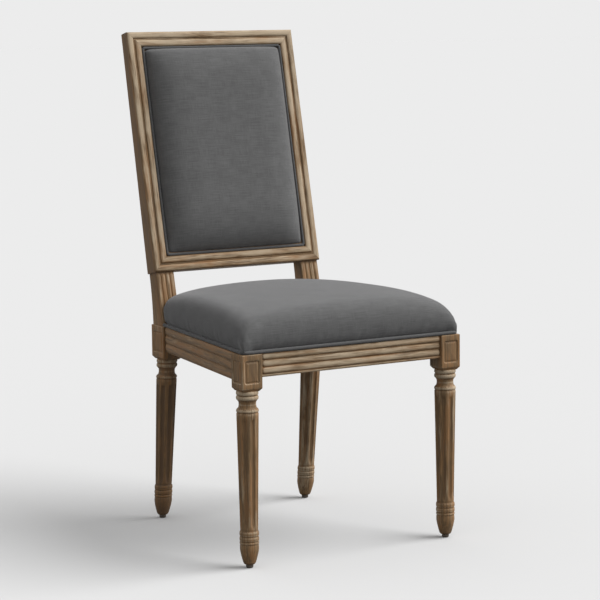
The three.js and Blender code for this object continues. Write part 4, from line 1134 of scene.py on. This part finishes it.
sideNames = {-1: "left", 1: "right"}
for side, name in sideNames.items():
    makeOakPiece("frontLeg_" + name, [turnedLeg(side, False), legBlock(side, False)], ["front_leg_" + name])
    makeOakPiece("rearLeg_" + name, [
        turnedLeg(side, True), legBlock(side, True), neckIsland(side), stileStrip(side), stileCore(side),
    ], ["rear_leg_" + name])
    makeOakPiece("sideRail_" + name, [sideRail(side)], ["seat_rail_" + name])
makeOakPiece("frontRail", [frontRail()], ["seat_rail_front"])
makeOakPiece("rearRail", [rearRail()], ["seat_rail_rear"])
makeOakPiece("crestRail", [crestRail()], ["crest_rail"])
makeOakPiece("lowerBackRail", lowerRail(), ["lower_back_rail"])
print("woodwork made")


glide = {
    "steps": 40,
    # radius and height from the tread up
    "outline": [(4.4, 0.0), (5.6, 0.3), (6.5, 1.0), (7.0, 2.2),
                (7.1, 3.6), (7.1, 5.4), (6.8, 6.1), (6.2, 6.4)],
    "rakeAt": 6.0,  # it stands under the middle of the leg at this height
}


def makeGlide(side, isRear):
    x, y = legCentre(side, isRear)
    if isRear:
        y += turning["rake"] * (1 - glide["rakeAt"] / chair["blockBottom"])
    angles = 2 * math.pi * np.arange(glide["steps"]) / glide["steps"]
    rings = [np.column_stack([x + radius * np.cos(angles), y + radius * np.sin(angles), 0 * angles + height])
             for radius, height in glide["outline"]]
    name = ("rear_" if isRear else "front_") + sideNames[side]
    finishPiece(makePiece("footGlide_" + name, *loft(rings)), ["foot_glide_" + name], nylon)


for side in sideNames:
    makeGlide(side, False)
    makeGlide(side, True)


# Upholstery

cushioning = {
    "frames": 20,
    "evenRounds": 6,
    "cloth": {"quality": 5, "mass": 0.3, "tension_stiffness": 25, "compression_stiffness": 25,
              "shear_stiffness": 12, "bending_stiffness": 1.2, "use_pressure": True},
}
seat = {
    "inset": 7.1,  # from the frame's faces to the cover's lower edge
    "wall": 71.2,
    "rake": 4.9,  # the front is this much higher and the rear this much lower
    "cornerDrop": 0.36,
    "round": 42.0,  # how far the top edge rounds over
    "fullness": 3.8,
    "crown": 24.0,
    "crownPower": (2.0, 1.8),
    "belly": 4.2,  # how far the walls stand out over their foot
    "bellyReach": 1.5,
    "cornerPull": 3.0,
    "cornerFoot": 4.2,  # the corners stand full right down to the seam
    "curl": 5.5,  # elsewhere the wall turns in just over the seam
    "curlHeight": 19.0,
    "pucker": 0.8,  # depth of the small tucks over the seam
    "puckerReach": 30.0,
    # share, distance from tuck to tuck, and start of each wave of tucks
    "tucks": [(0.25, 27.0, 0.4), (0.35, 43.0, 1.7), (0.15, 17.0, 2.9), (0.45, 71.0, 0.9), (0.4, 113.0, 2.2)],
    "cells": 116,
    "crowding": 2.6,  # rows of points crowd towards the walls
    "voxel": 4.5,
    "pressure": 4.0,
    "mostMove": 2.6,
    "leastMove": 2.2,
    "postRoom": 1.2,  # between the cushion and the rear posts that it is cut round
    "heldHeight": 9.0,  # the cover is nailed down below this
}
seatLayer = chair["blockTop"] + 0.3


# A pad over the unit square: walls that round over into a crowned top
def plumpPad(place, halfWide, halfDeep, size):
    cells = size["cells"]
    spread = np.linspace(-1, 1, cells + 1)
    spread = np.sign(spread) * (1 - (1 - np.abs(spread)) ** size.get("crowding", 2.0))
    u, v = np.meshgrid(spread, spread)
    fromSide, fromEnd = (1 - np.abs(u)) * halfWide, (1 - np.abs(v)) * halfDeep

    def near(distance, reach):
        return np.clip(1 - distance / reach, 0, 1)

    def shoulder(distance):
        return (1 - near(distance, size["round"]) ** size["fullness"]) ** (1 / size["fullness"])

    across, along = size["crownPower"]
    fall = np.abs(v) ** along * np.where(v > 0, size.get("topFall", 1.0), 1.0)
    height = size["wall"] * (1 - size.get("cornerDrop", 0.0) * np.abs(u * v) ** 3) - size.get("rake", 0.0) * v
    height = height + size["crown"] * (1 - np.abs(u) ** across) * (1 - fall)
    height = height * shoulder(fromSide) * shoulder(fromEnd)
    bump = np.sin(math.pi * np.clip(height / size["wall"] / size.get("bellyReach", 1.0), 0, 1))
    nearCorner = near(fromSide, 16) * near(fromEnd, 16)
    low = near(height, size["wall"])
    out = bump * (size.get("belly", 0.0) + size.get("cornerPull", 0.0) * nearCorner)
    out = out + size.get("cornerFoot", 0.0) * nearCorner * np.where(v < 0, low ** 2, 0)
    curl = near(height, size.get("curlHeight", 1.0)) ** 1.3
    out = out - size.get("curl", 0.0) * (1 - 0.8 * nearCorner) * curl
    outU, outV = np.sign(u) * out * near(fromSide, 30) ** 2, np.sign(v) * out * near(fromEnd, 30) ** 2
    points = place(*(field.ravel() for field in (u, v, height, outU, outV)))
    row = cells + 1
    corners = [j * row + i for j in range(cells) for i in range(cells)]
    faces = [(corner, corner + 1, corner + row + 1, corner + row) for corner in corners]
    rim = list(range(cells)) + [j * row + cells for j in range(cells)]
    rim += [cells * row + i for i in range(cells, 0, -1)] + [j * row for j in range(cells, 0, -1)]
    return outward(points, faces + [tuple(reversed(rim))])


# Evens a field out over a mesh: each point takes the mean of itself and its neighbours
def evenedOut(mesh, field):
    first, second = readAll(mesh.edges, "vertices", 2, int).T
    count = np.ones(len(field))
    np.add.at(count, first, 1)
    np.add.at(count, second, 1)
    for _ in range(cushioning["evenRounds"]):
        total = field.copy()
        np.add.at(total, first, field[second])
        np.add.at(total, second, field[first])
        field = total / count[:, None]
    return field


# How far each point moves when the pad swells under pressure, with the held points staying where they are
def swelling(piece, size, weights):
    held = piece.vertex_groups.new(name="held")
    for index in np.nonzero(weights > 0.001)[0]:
        held.add([int(index)], float(weights[index]), "REPLACE")
    cloth = piece.modifiers.new("cloth", "CLOTH")
    for label, value in cushioning["cloth"].items():
        setattr(cloth.settings, label, value)
    cloth.settings.vertex_group_mass = "held"
    cloth.settings.uniform_pressure_force = size["pressure"]
    cloth.settings.effector_weights.gravity = 0
    cloth.point_cache.frame_start = 1
    cloth.point_cache.frame_end = cushioning["frames"]
    for number in range(1, cushioning["frames"] + 1):
        scene.frame_set(number)
    swollen = piece.evaluated_get(bpy.context.evaluated_depsgraph_get())
    moved = readAll(swollen.data.vertices, "co") - readAll(piece.data.vertices, "co")
    piece.modifiers.clear()
    piece.vertex_groups.clear()
    scene.frame_set(1)
    return moved


# Fills a pad like a cushion: a voxel remesh, a simulation under pressure, a cap on the movement, and a
# subdivision
def stuffed(piece, size, heldShare):
    remesh = piece.modifiers.new("remesh", "REMESH")
    remesh.mode = "VOXEL"
    remesh.voxel_size = size["voxel"] * mm
    remesh.use_smooth_shade = True
    applied(piece)
    rest = readAll(piece.data.vertices, "co")
    normals = readAll(piece.data.vertex_normals, "vector")
    weights = heldShare(drawing(rest))
    most = size["mostMove"] * mm
    moved = swelling(piece, size, weights)
    length = np.linalg.norm(moved, axis=1)
    print(piece.name, "swelled by", round(float(length.max()) * 1000, 1), "mm")
    moved *= np.where(length > most, most / np.maximum(length, 1e-9), 1.0)[:, None]
    # the foam keeps the cover from sinking in at the corners
    least = size["leastMove"] * mm * (1 - weights)
    moved += normals * np.maximum(least - (moved * normals).sum(axis=1), 0)[:, None]
    setCoordinates(piece.data, rest + evenedOut(piece.data, moved))
    finer = piece.modifiers.new("finer", "SUBSURF")
    finer.levels = finer.render_levels = 1
    applied(piece)
    smoothFaces(piece.data)


def seatPlace(u, v, height, outU, outV):
    y = mapped(v, -1, 1, seat["inset"], chair["frameDepth"] - seat["inset"])
    return np.stack([u * (seatHalf(y) - seat["inset"]) + outU, y + outV, seatLayer + height], axis=-1)


# Keeps the cushion clear of the rear posts
def clearOfPosts(points, gap):
    inner = chair["rearWidth"] / 2 - neck["sideInset"] - neck["width"] - gap
    line = np.array([neckFront(t) for t in np.linspace(0, 1, 60)])
    front = np.interp(points[:, 2], line[::-1, 1], line[::-1, 0]) - gap
    overX, overY = np.abs(points[:, 0]) - inner, points[:, 1] - front
    inside = (overX > 0) & (overY > 0)
    toSide = inside & (overX < overY)
    toFront = inside & ~toSide
    points[toSide, 0] = (np.sign(points[:, 0]) * inner)[toSide]
    points[toFront, 1] = front[toFront]
    return points


# Draws the cover in with small uneven tucks just over the seam
def puckered(piece):
    points = drawing(readAll(piece.data.vertices, "co"))
    along = points[:, 0] + 1.3 * points[:, 1]
    tucks = sum(share * np.sin(2 * math.pi * along / pitch + turn) for share, pitch, turn in seat["tucks"])
    up = np.clip((points[:, 2] - seatLayer - 3.0) / seat["puckerReach"], 0, 1)
    depth = seat["pucker"] * np.sin(math.pi * up) * np.minimum(tucks, 0.1)
    return points + readAll(piece.data.vertex_normals, "vector") * depth[:, None]


# Cuts the room for one rear post out of the cushion
def cutForPost(piece, side):
    room = seat["postRoom"]
    inner = chair["rearWidth"] / 2 - neck["sideInset"] - neck["width"] - room
    behind, beyond, under = 560.0, 230.0, chair["blockTop"] - 8  # past the cushion's rear, side and foot
    line = [neckFront(t) for t in np.linspace(0, 1, 12)]
    outline = [(y - room, z) for y, z in line]
    outline += [(line[-1][0] - 2.0, under), (behind, under), (behind, line[0][1])]
    cutter = makePiece("postRoom", *loft([[(side * x, y, z) for y, z in outline] for x in (inner, beyond)]))
    cut = piece.modifiers.new("postRoom", "BOOLEAN")
    cut.operation, cut.object, cut.solver = "DIFFERENCE", cutter, "EXACT"
    applied(piece)
    bpy.data.objects.remove(cutter)


def makeSeatCushion():
    halfWide = (chair["frontWidth"] + chair["rearWidth"]) / 4 - seat["inset"]
    halfDeep = chair["frameDepth"] / 2 - seat["inset"]
    piece = makePiece("seatCushion", *plumpPad(seatPlace, halfWide, halfDeep, seat))
    for side in sideNames:
        cutForPost(piece, side)
    stuffed(piece, seat, lambda points: np.clip(1.3 - (points[:, 2] - seatLayer) / seat["heldHeight"], 0, 1))
    points = clearOfPosts(puckered(piece), 0.5)
    points[:, 2] = np.maximum(points[:, 2], seatLayer)
    setCoordinates(piece.data, placed(points))
    finishPiece(piece, ["seat_cover", "seat_foam"], seatLinen)


backPad = {
    "inset": 36.8,
    "wall": 7.0,
    "rake": -1.5,  # the upper end is the thicker one
    "round": 9.0,
    "fullness": 2.3,
    "crown": 34.0,
    "crownPower": (7.0, 7.5),
    "topFall": 0.55,
    "cells": 90,
    "voxel": 4.0,
    "pressure": 3.0,
    "mostMove": 2.0,
    "leastMove": 1.0,
    "heldHeight": 7.0,
}


def makeBackPad():
    half = backHalf - backPad["inset"]
    base = back["frontRebate"] - 0.3

    def place(u, v, height, outU, outV):
        along = mapped(v, -1, 1, backPad["inset"], backHeight - backPad["inset"])
        return backPoint(u * half + outU, along + outV, base - height)

    def heldShare(points):
        y, z = points[:, 1] - backBottomY, points[:, 2] - back["bottomZ"]
        depth = y * math.cos(lean) - z * math.sin(lean)
        return np.clip(1.3 - (base - depth) / backPad["heldHeight"], 0, 1)

    piece = makePiece("backPad", *plumpPad(place, half, backHeight / 2 - backPad["inset"], backPad))
    stuffed(piece, backPad, heldShare)
    finishPiece(piece, ["back_cover", "back_foam"], backLinen)


outside = {
    "margin": 33.0,
    "welt": 2.0,
    "board": 3.0,
    "gap": 0.6,
    "wall": 3.0,
    "round": 5.0,
    "fullness": 2.2,
    "crown": 4.0,
    "crownPower": (3.0, 3.0),
    "cells": 60,
}
rearTaper = math.atan2(back["bottomThickness"] - back["topThickness"], backHeight)
rearLength = backHeight / math.cos(rearTaper)


# A point over the floor of the rear rebate, which follows the frame's tapering rear face
def rearPoint(x, height, out):
    start = backPoint(0, 0, back["bottomThickness"] - back["rearRebate"])[1:]
    return leaning(start, lean - rearTaper, x, height, out)


def makeOutsideBack():
    inset = outside["margin"] + 2 * outside["welt"] + outside["gap"]
    half = backHalf - inset

    def place(u, v, height, outU, outV):
        along = mapped(v, -1, 1, inset, rearLength - inset) + outV
        return rearPoint(u * half + outU, along, outside["board"] + outside["gap"] + height)

    piece = makePiece("outsideBackCover", *plumpPad(place, half, rearLength / 2 - inset, outside))
    finishPiece(piece, ["outside_back_cover"], backLinen)


# A cord along a curve, with its lay stored for the cloth: how far round and how far along each point lies
def makeWeltTree():
    tree, given = newShapeTree("weltCord", {
        "radius": "Float", "sides": "Int", "step": "Float", "unevenness": "Float",
    })
    curve = wire(tree, "GeometryNodeMeshToCurve", {"Mesh": given["geometry"]})
    curve = wire(tree, "GeometryNodeResampleCurve", {"Curve": curve, "Length": given["step"]}, mode="LENGTH")
    curve = stored(curve, "along", wire(tree, "GeometryNodeSplineParameter", None, "Length"))
    ring = {"Resolution": given["sides"], "Radius": given["radius"]}
    ring = wire(tree, "GeometryNodeCurvePrimitiveCircle", ring)
    ring = stored(ring, "round", wire(tree, "GeometryNodeSplineParameter", None, "Factor"))
    cord = wire(tree, "GeometryNodeCurveToMesh",
                {"Curve": curve, "Profile Curve": ring, "Scale": 1.0, "Fill Caps": True})
    turn = times(marked(tree, "round"), times(given["radius"], 2 * math.pi))
    lay = wire(tree, "ShaderNodeCombineXYZ", {0: turn, 1: marked(tree, "along")})
    cord = stored(cord, "lay", lay, "FLOAT_VECTOR")
    lumps = stretchedNoise(wire(tree, "GeometryNodeInputPosition"), 120.0, None, 2.0, 0.5)
    out = scaled(wire(tree, "GeometryNodeInputNormal"), swing(lumps, given["unevenness"]))
    endShapeTree(tree, wire(tree, "GeometryNodeSetPosition", {"Geometry": cord, "Offset": out}), given)
    return tree


weltTree = makeWeltTree()
welt = {
    "radius": 3.4,
    "inset": 4.1,  # from the seat frame's faces to the middle of the cord
    "bend": 9.0,
    "backRadius": 2.9,
    "backBend": 4.5,
    "backDepth": 4.3,  # below the front plane of the back frame
    "bendSteps": 8,
    "sides": 14,
    "step": 3.0,
    "unevenness": 0.5,
    "gap": 0.3,
}


def makeWelt(name, node, path, radius, runsRound=False):
    lengths = {"radius": radius, "step": welt["step"], "unevenness": welt["unevenness"]}
    values = {label: length * mm for label, length in lengths.items()}
    values.update(sides=welt["sides"], material=weltLinen)
    piece = grown(name, placed(path), weltTree, values, runsRound)
    smoothFaces(piece.data)
    finishPiece(piece, [node])


def weltPath(corners, place):
    return [place(x, y) for x, y, _ in rounded([(*corner, 0) for corner in corners], welt["bendSteps"])]


# A closed path inside a rectangle on the back
def weltRound(inset, length, bend, place):
    half = backHalf - inset
    corners = [(-half, inset), (half, inset), (half, length - inset), (-half, length - inset)]
    return weltPath([(x, y, bend) for x, y in corners], place)


def makeWelts():
    z = seatLayer + welt["radius"]
    inset, gap, bend = welt["inset"], welt["gap"], welt["bend"]
    frontX, rearX = float(seatHalf(inset)) - inset, chair["rearWidth"] / 2 - inset - gap
    end = rearBlockFront + neck["footInset"] - gap
    corners = [(-rearX, end, 0), (-frontX, inset, bend), (frontX, inset, bend), (rearX, end, 0)]
    makeWelt("seatWelt", "seat_welt", weltPath(corners, lambda x, y: (x, y, z)), welt["radius"])
    half = chair["rearWidth"] / 2 - chair["blockSize"] - gap
    path = [(x, chair["frameDepth"] - inset, z) for x in np.linspace(-half, half, 20)]
    makeWelt("seatRearWelt", "seat_rear_welt", path, welt["radius"])
    path = weltRound(back["mouldingWidth"] + welt["backRadius"] + 0.2, backHeight, welt["backBend"],
                     lambda x, height: backPoint(x, height, welt["backDepth"]))
    makeWelt("backWelt", "back_welt", path, welt["backRadius"], True)
    path = weltRound(outside["margin"] + outside["welt"] + gap, rearLength, bend,
                     lambda x, height: rearPoint(x, height, outside["welt"] + gap))
    makeWelt("outsideBackWelt", "outside_back_welt", path, outside["welt"], True)


makeSeatCushion()
makeBackPad()
makeOutsideBack()
makeWelts()


dustCover = {"inset": 11.0, "gap": 0.8, "drop": 0.4, "sag": 5.0, "thickness": 0.6, "columns": 24, "rows": 26}


# The black cloth under the seat, stapled to the front and rear rails and notched round the legs
def makeDustCover():
    inset, gap, size = dustCover["inset"], dustCover["gap"], chair["blockSize"]
    front, rear = inset, chair["frameDepth"] - inset
    first, last = size + gap, rearBlockFront - gap
    halves = (chair["frontWidth"] / 2, chair["rearWidth"] / 2)
    posts = [half - size - gap for half in halves]
    inner = [half - rail["inset"] - rail["thickness"] / math.cos(railTurn) - gap for half in halves]
    ys = list(np.linspace(front, first, 4)) + list(np.linspace(first, last, dustCover["rows"])[1:])
    ys += list(np.linspace(last, rear, 4)[1:])
    points, rows, faces = [], [], []
    for y in ys:
        post = float(np.interp(y, [first, last], posts))
        edge = float(np.interp(y, [size, rearBlockFront], inner))
        wide = first - 0.01 <= y <= last + 0.01
        xs = list(np.linspace(-post, post, dustCover["columns"] + 1))
        if wide:
            xs = [-edge, -(edge + post) / 2] + xs + [(edge + post) / 2, edge]
        rows.append((wide, list(range(len(points), len(points) + len(xs)))))
        sag = dustCover["sag"] * math.sin(math.pi * (y - front) / (rear - front))
        for x in xs:
            sink = sag * (1 - min(1, abs(x) / edge) ** 2)
            points.append((x, y, railBottom - dustCover["drop"] - sink))
    for (wideHere, here), (wideNext, following) in zip(rows, rows[1:]):
        if wideHere and not wideNext:
            here = here[2:-2]
        if wideNext and not wideHere:
            following = following[2:-2]
        faces += [(here[i], here[i + 1], following[i + 1], following[i]) for i in range(len(here) - 1)]
    piece = makePiece("dustCover", np.array(points), [tuple(reversed(face)) for face in faces])
    thicken = piece.modifiers.new("thicken", "SOLIDIFY")
    thicken.thickness = dustCover["thickness"] * mm
    thicken.offset = 1.0
    applied(piece)
    finishPiece(piece, ["dust_cover"], blackCambric)


makeDustCover()
print("upholstery made")


# What the covers hide keeps its CAD shape
hiddenFinishes = {
    "corner_block": hiddenWood, "screw": zincSteel, "webbing": jute, "seat_hessian": hessian,
    "back_board": fibreboard, "outside_back_board": fibreboard,
}
for name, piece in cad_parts.items():
    for start, material in hiddenFinishes.items():
        if name.startswith(start):
            piece.data.materials.clear()
            piece.data.materials.append(material)


# Camera, floor and light

camera = {"turn": -30.37, "down": 7.47, "roll": -0.67, "lens": 131.62, "place": (-2175.5, -3510.2, 1036.4)}


def makeCamera():
    data = bpy.data.cameras.new("camera")
    data.sensor_width = 36.0
    data.lens = camera["lens"]
    data.clip_end = 100.0
    turn, down, roll = (math.radians(camera[angle]) for angle in ("turn", "down", "roll"))
    ahead = Vector((-math.sin(turn) * math.cos(down), math.cos(turn) * math.cos(down), -math.sin(down)))
    right = Vector((math.cos(turn), math.sin(turn), 0.0))
    up = right.cross(ahead)
    rightRolled = right * math.cos(roll) + up * math.sin(roll)
    upRolled = up * math.cos(roll) - right * math.sin(roll)
    axes = Matrix((rightRolled, upRolled, -ahead)).transposed().to_4x4()
    axes.translation = Vector(placed(camera["place"]))
    scene.camera = linked("camera", data)
    scene.camera.matrix_world = axes


studio = {
    "backdrop": 0.839,  # the pale grey that the camera sees
    "sky": 0.64,
    "bounce": 0.06,
    "floorSize": 60.0,
    "keyWay": (0.643, -0.372, 0.669),  # from the chair towards the key light
    "keyStrength": 3.41,
    "keyAngle": 50.0,
}
keyHeight = Vector(studio["keyWay"]).normalized().z
# the floor's own grey, which under this light comes out as the backdrop's
floorShade = studio["backdrop"] / (studio["keyStrength"] * keyHeight / math.pi + studio["sky"])


# Two greys: one for the light on the chair, and one for what is seen
def seenOrNot(tree, unseen, seen):
    rays = wire(tree, "ShaderNodeLightPath").node.outputs
    share = largest(largest(rays["Is Camera Ray"], rays["Is Glossy Ray"]), rays["Is Transmission Ray"])
    return blended(share, grey(unseen), grey(seen))


def makeStudio():
    size = studio["floorSize"]
    mesh = bpy.data.meshes.new("floor")
    corners = [(-size, -size, 0), (size, -size, 0), (size, size, 0), (-size, size, 0)]
    mesh.from_pydata(corners, [], [(0, 1, 2, 3)])
    floor = linked("floor", mesh)
    material, tree, shader = newMaterial("studioFloor")
    tree.links.new(seenOrNot(tree, studio["bounce"], floorShade), shader.inputs["Base Color"])
    shader.inputs["Roughness"].default_value = 1.0
    shader.inputs["Specular IOR Level"].default_value = 0.0
    mesh.materials.append(material)
    world = bpy.data.worlds.new("studio")
    scene.world = world
    world.use_nodes = True
    tree = world.node_tree
    light = seenOrNot(tree, studio["sky"], studio["backdrop"])
    tree.links.new(light, tree.nodes["Background"].inputs["Color"])
    key = bpy.data.lights.new("key", "SUN")
    key.energy = studio["keyStrength"]
    key.angle = math.radians(studio["keyAngle"])
    linked("key", key).matrix_world = Vector(studio["keyWay"]).to_track_quat("Z", "Y").to_matrix().to_4x4()


makeCamera()
makeStudio()
scene.view_settings.view_transform = "Standard"
print("camera, floor and light made")
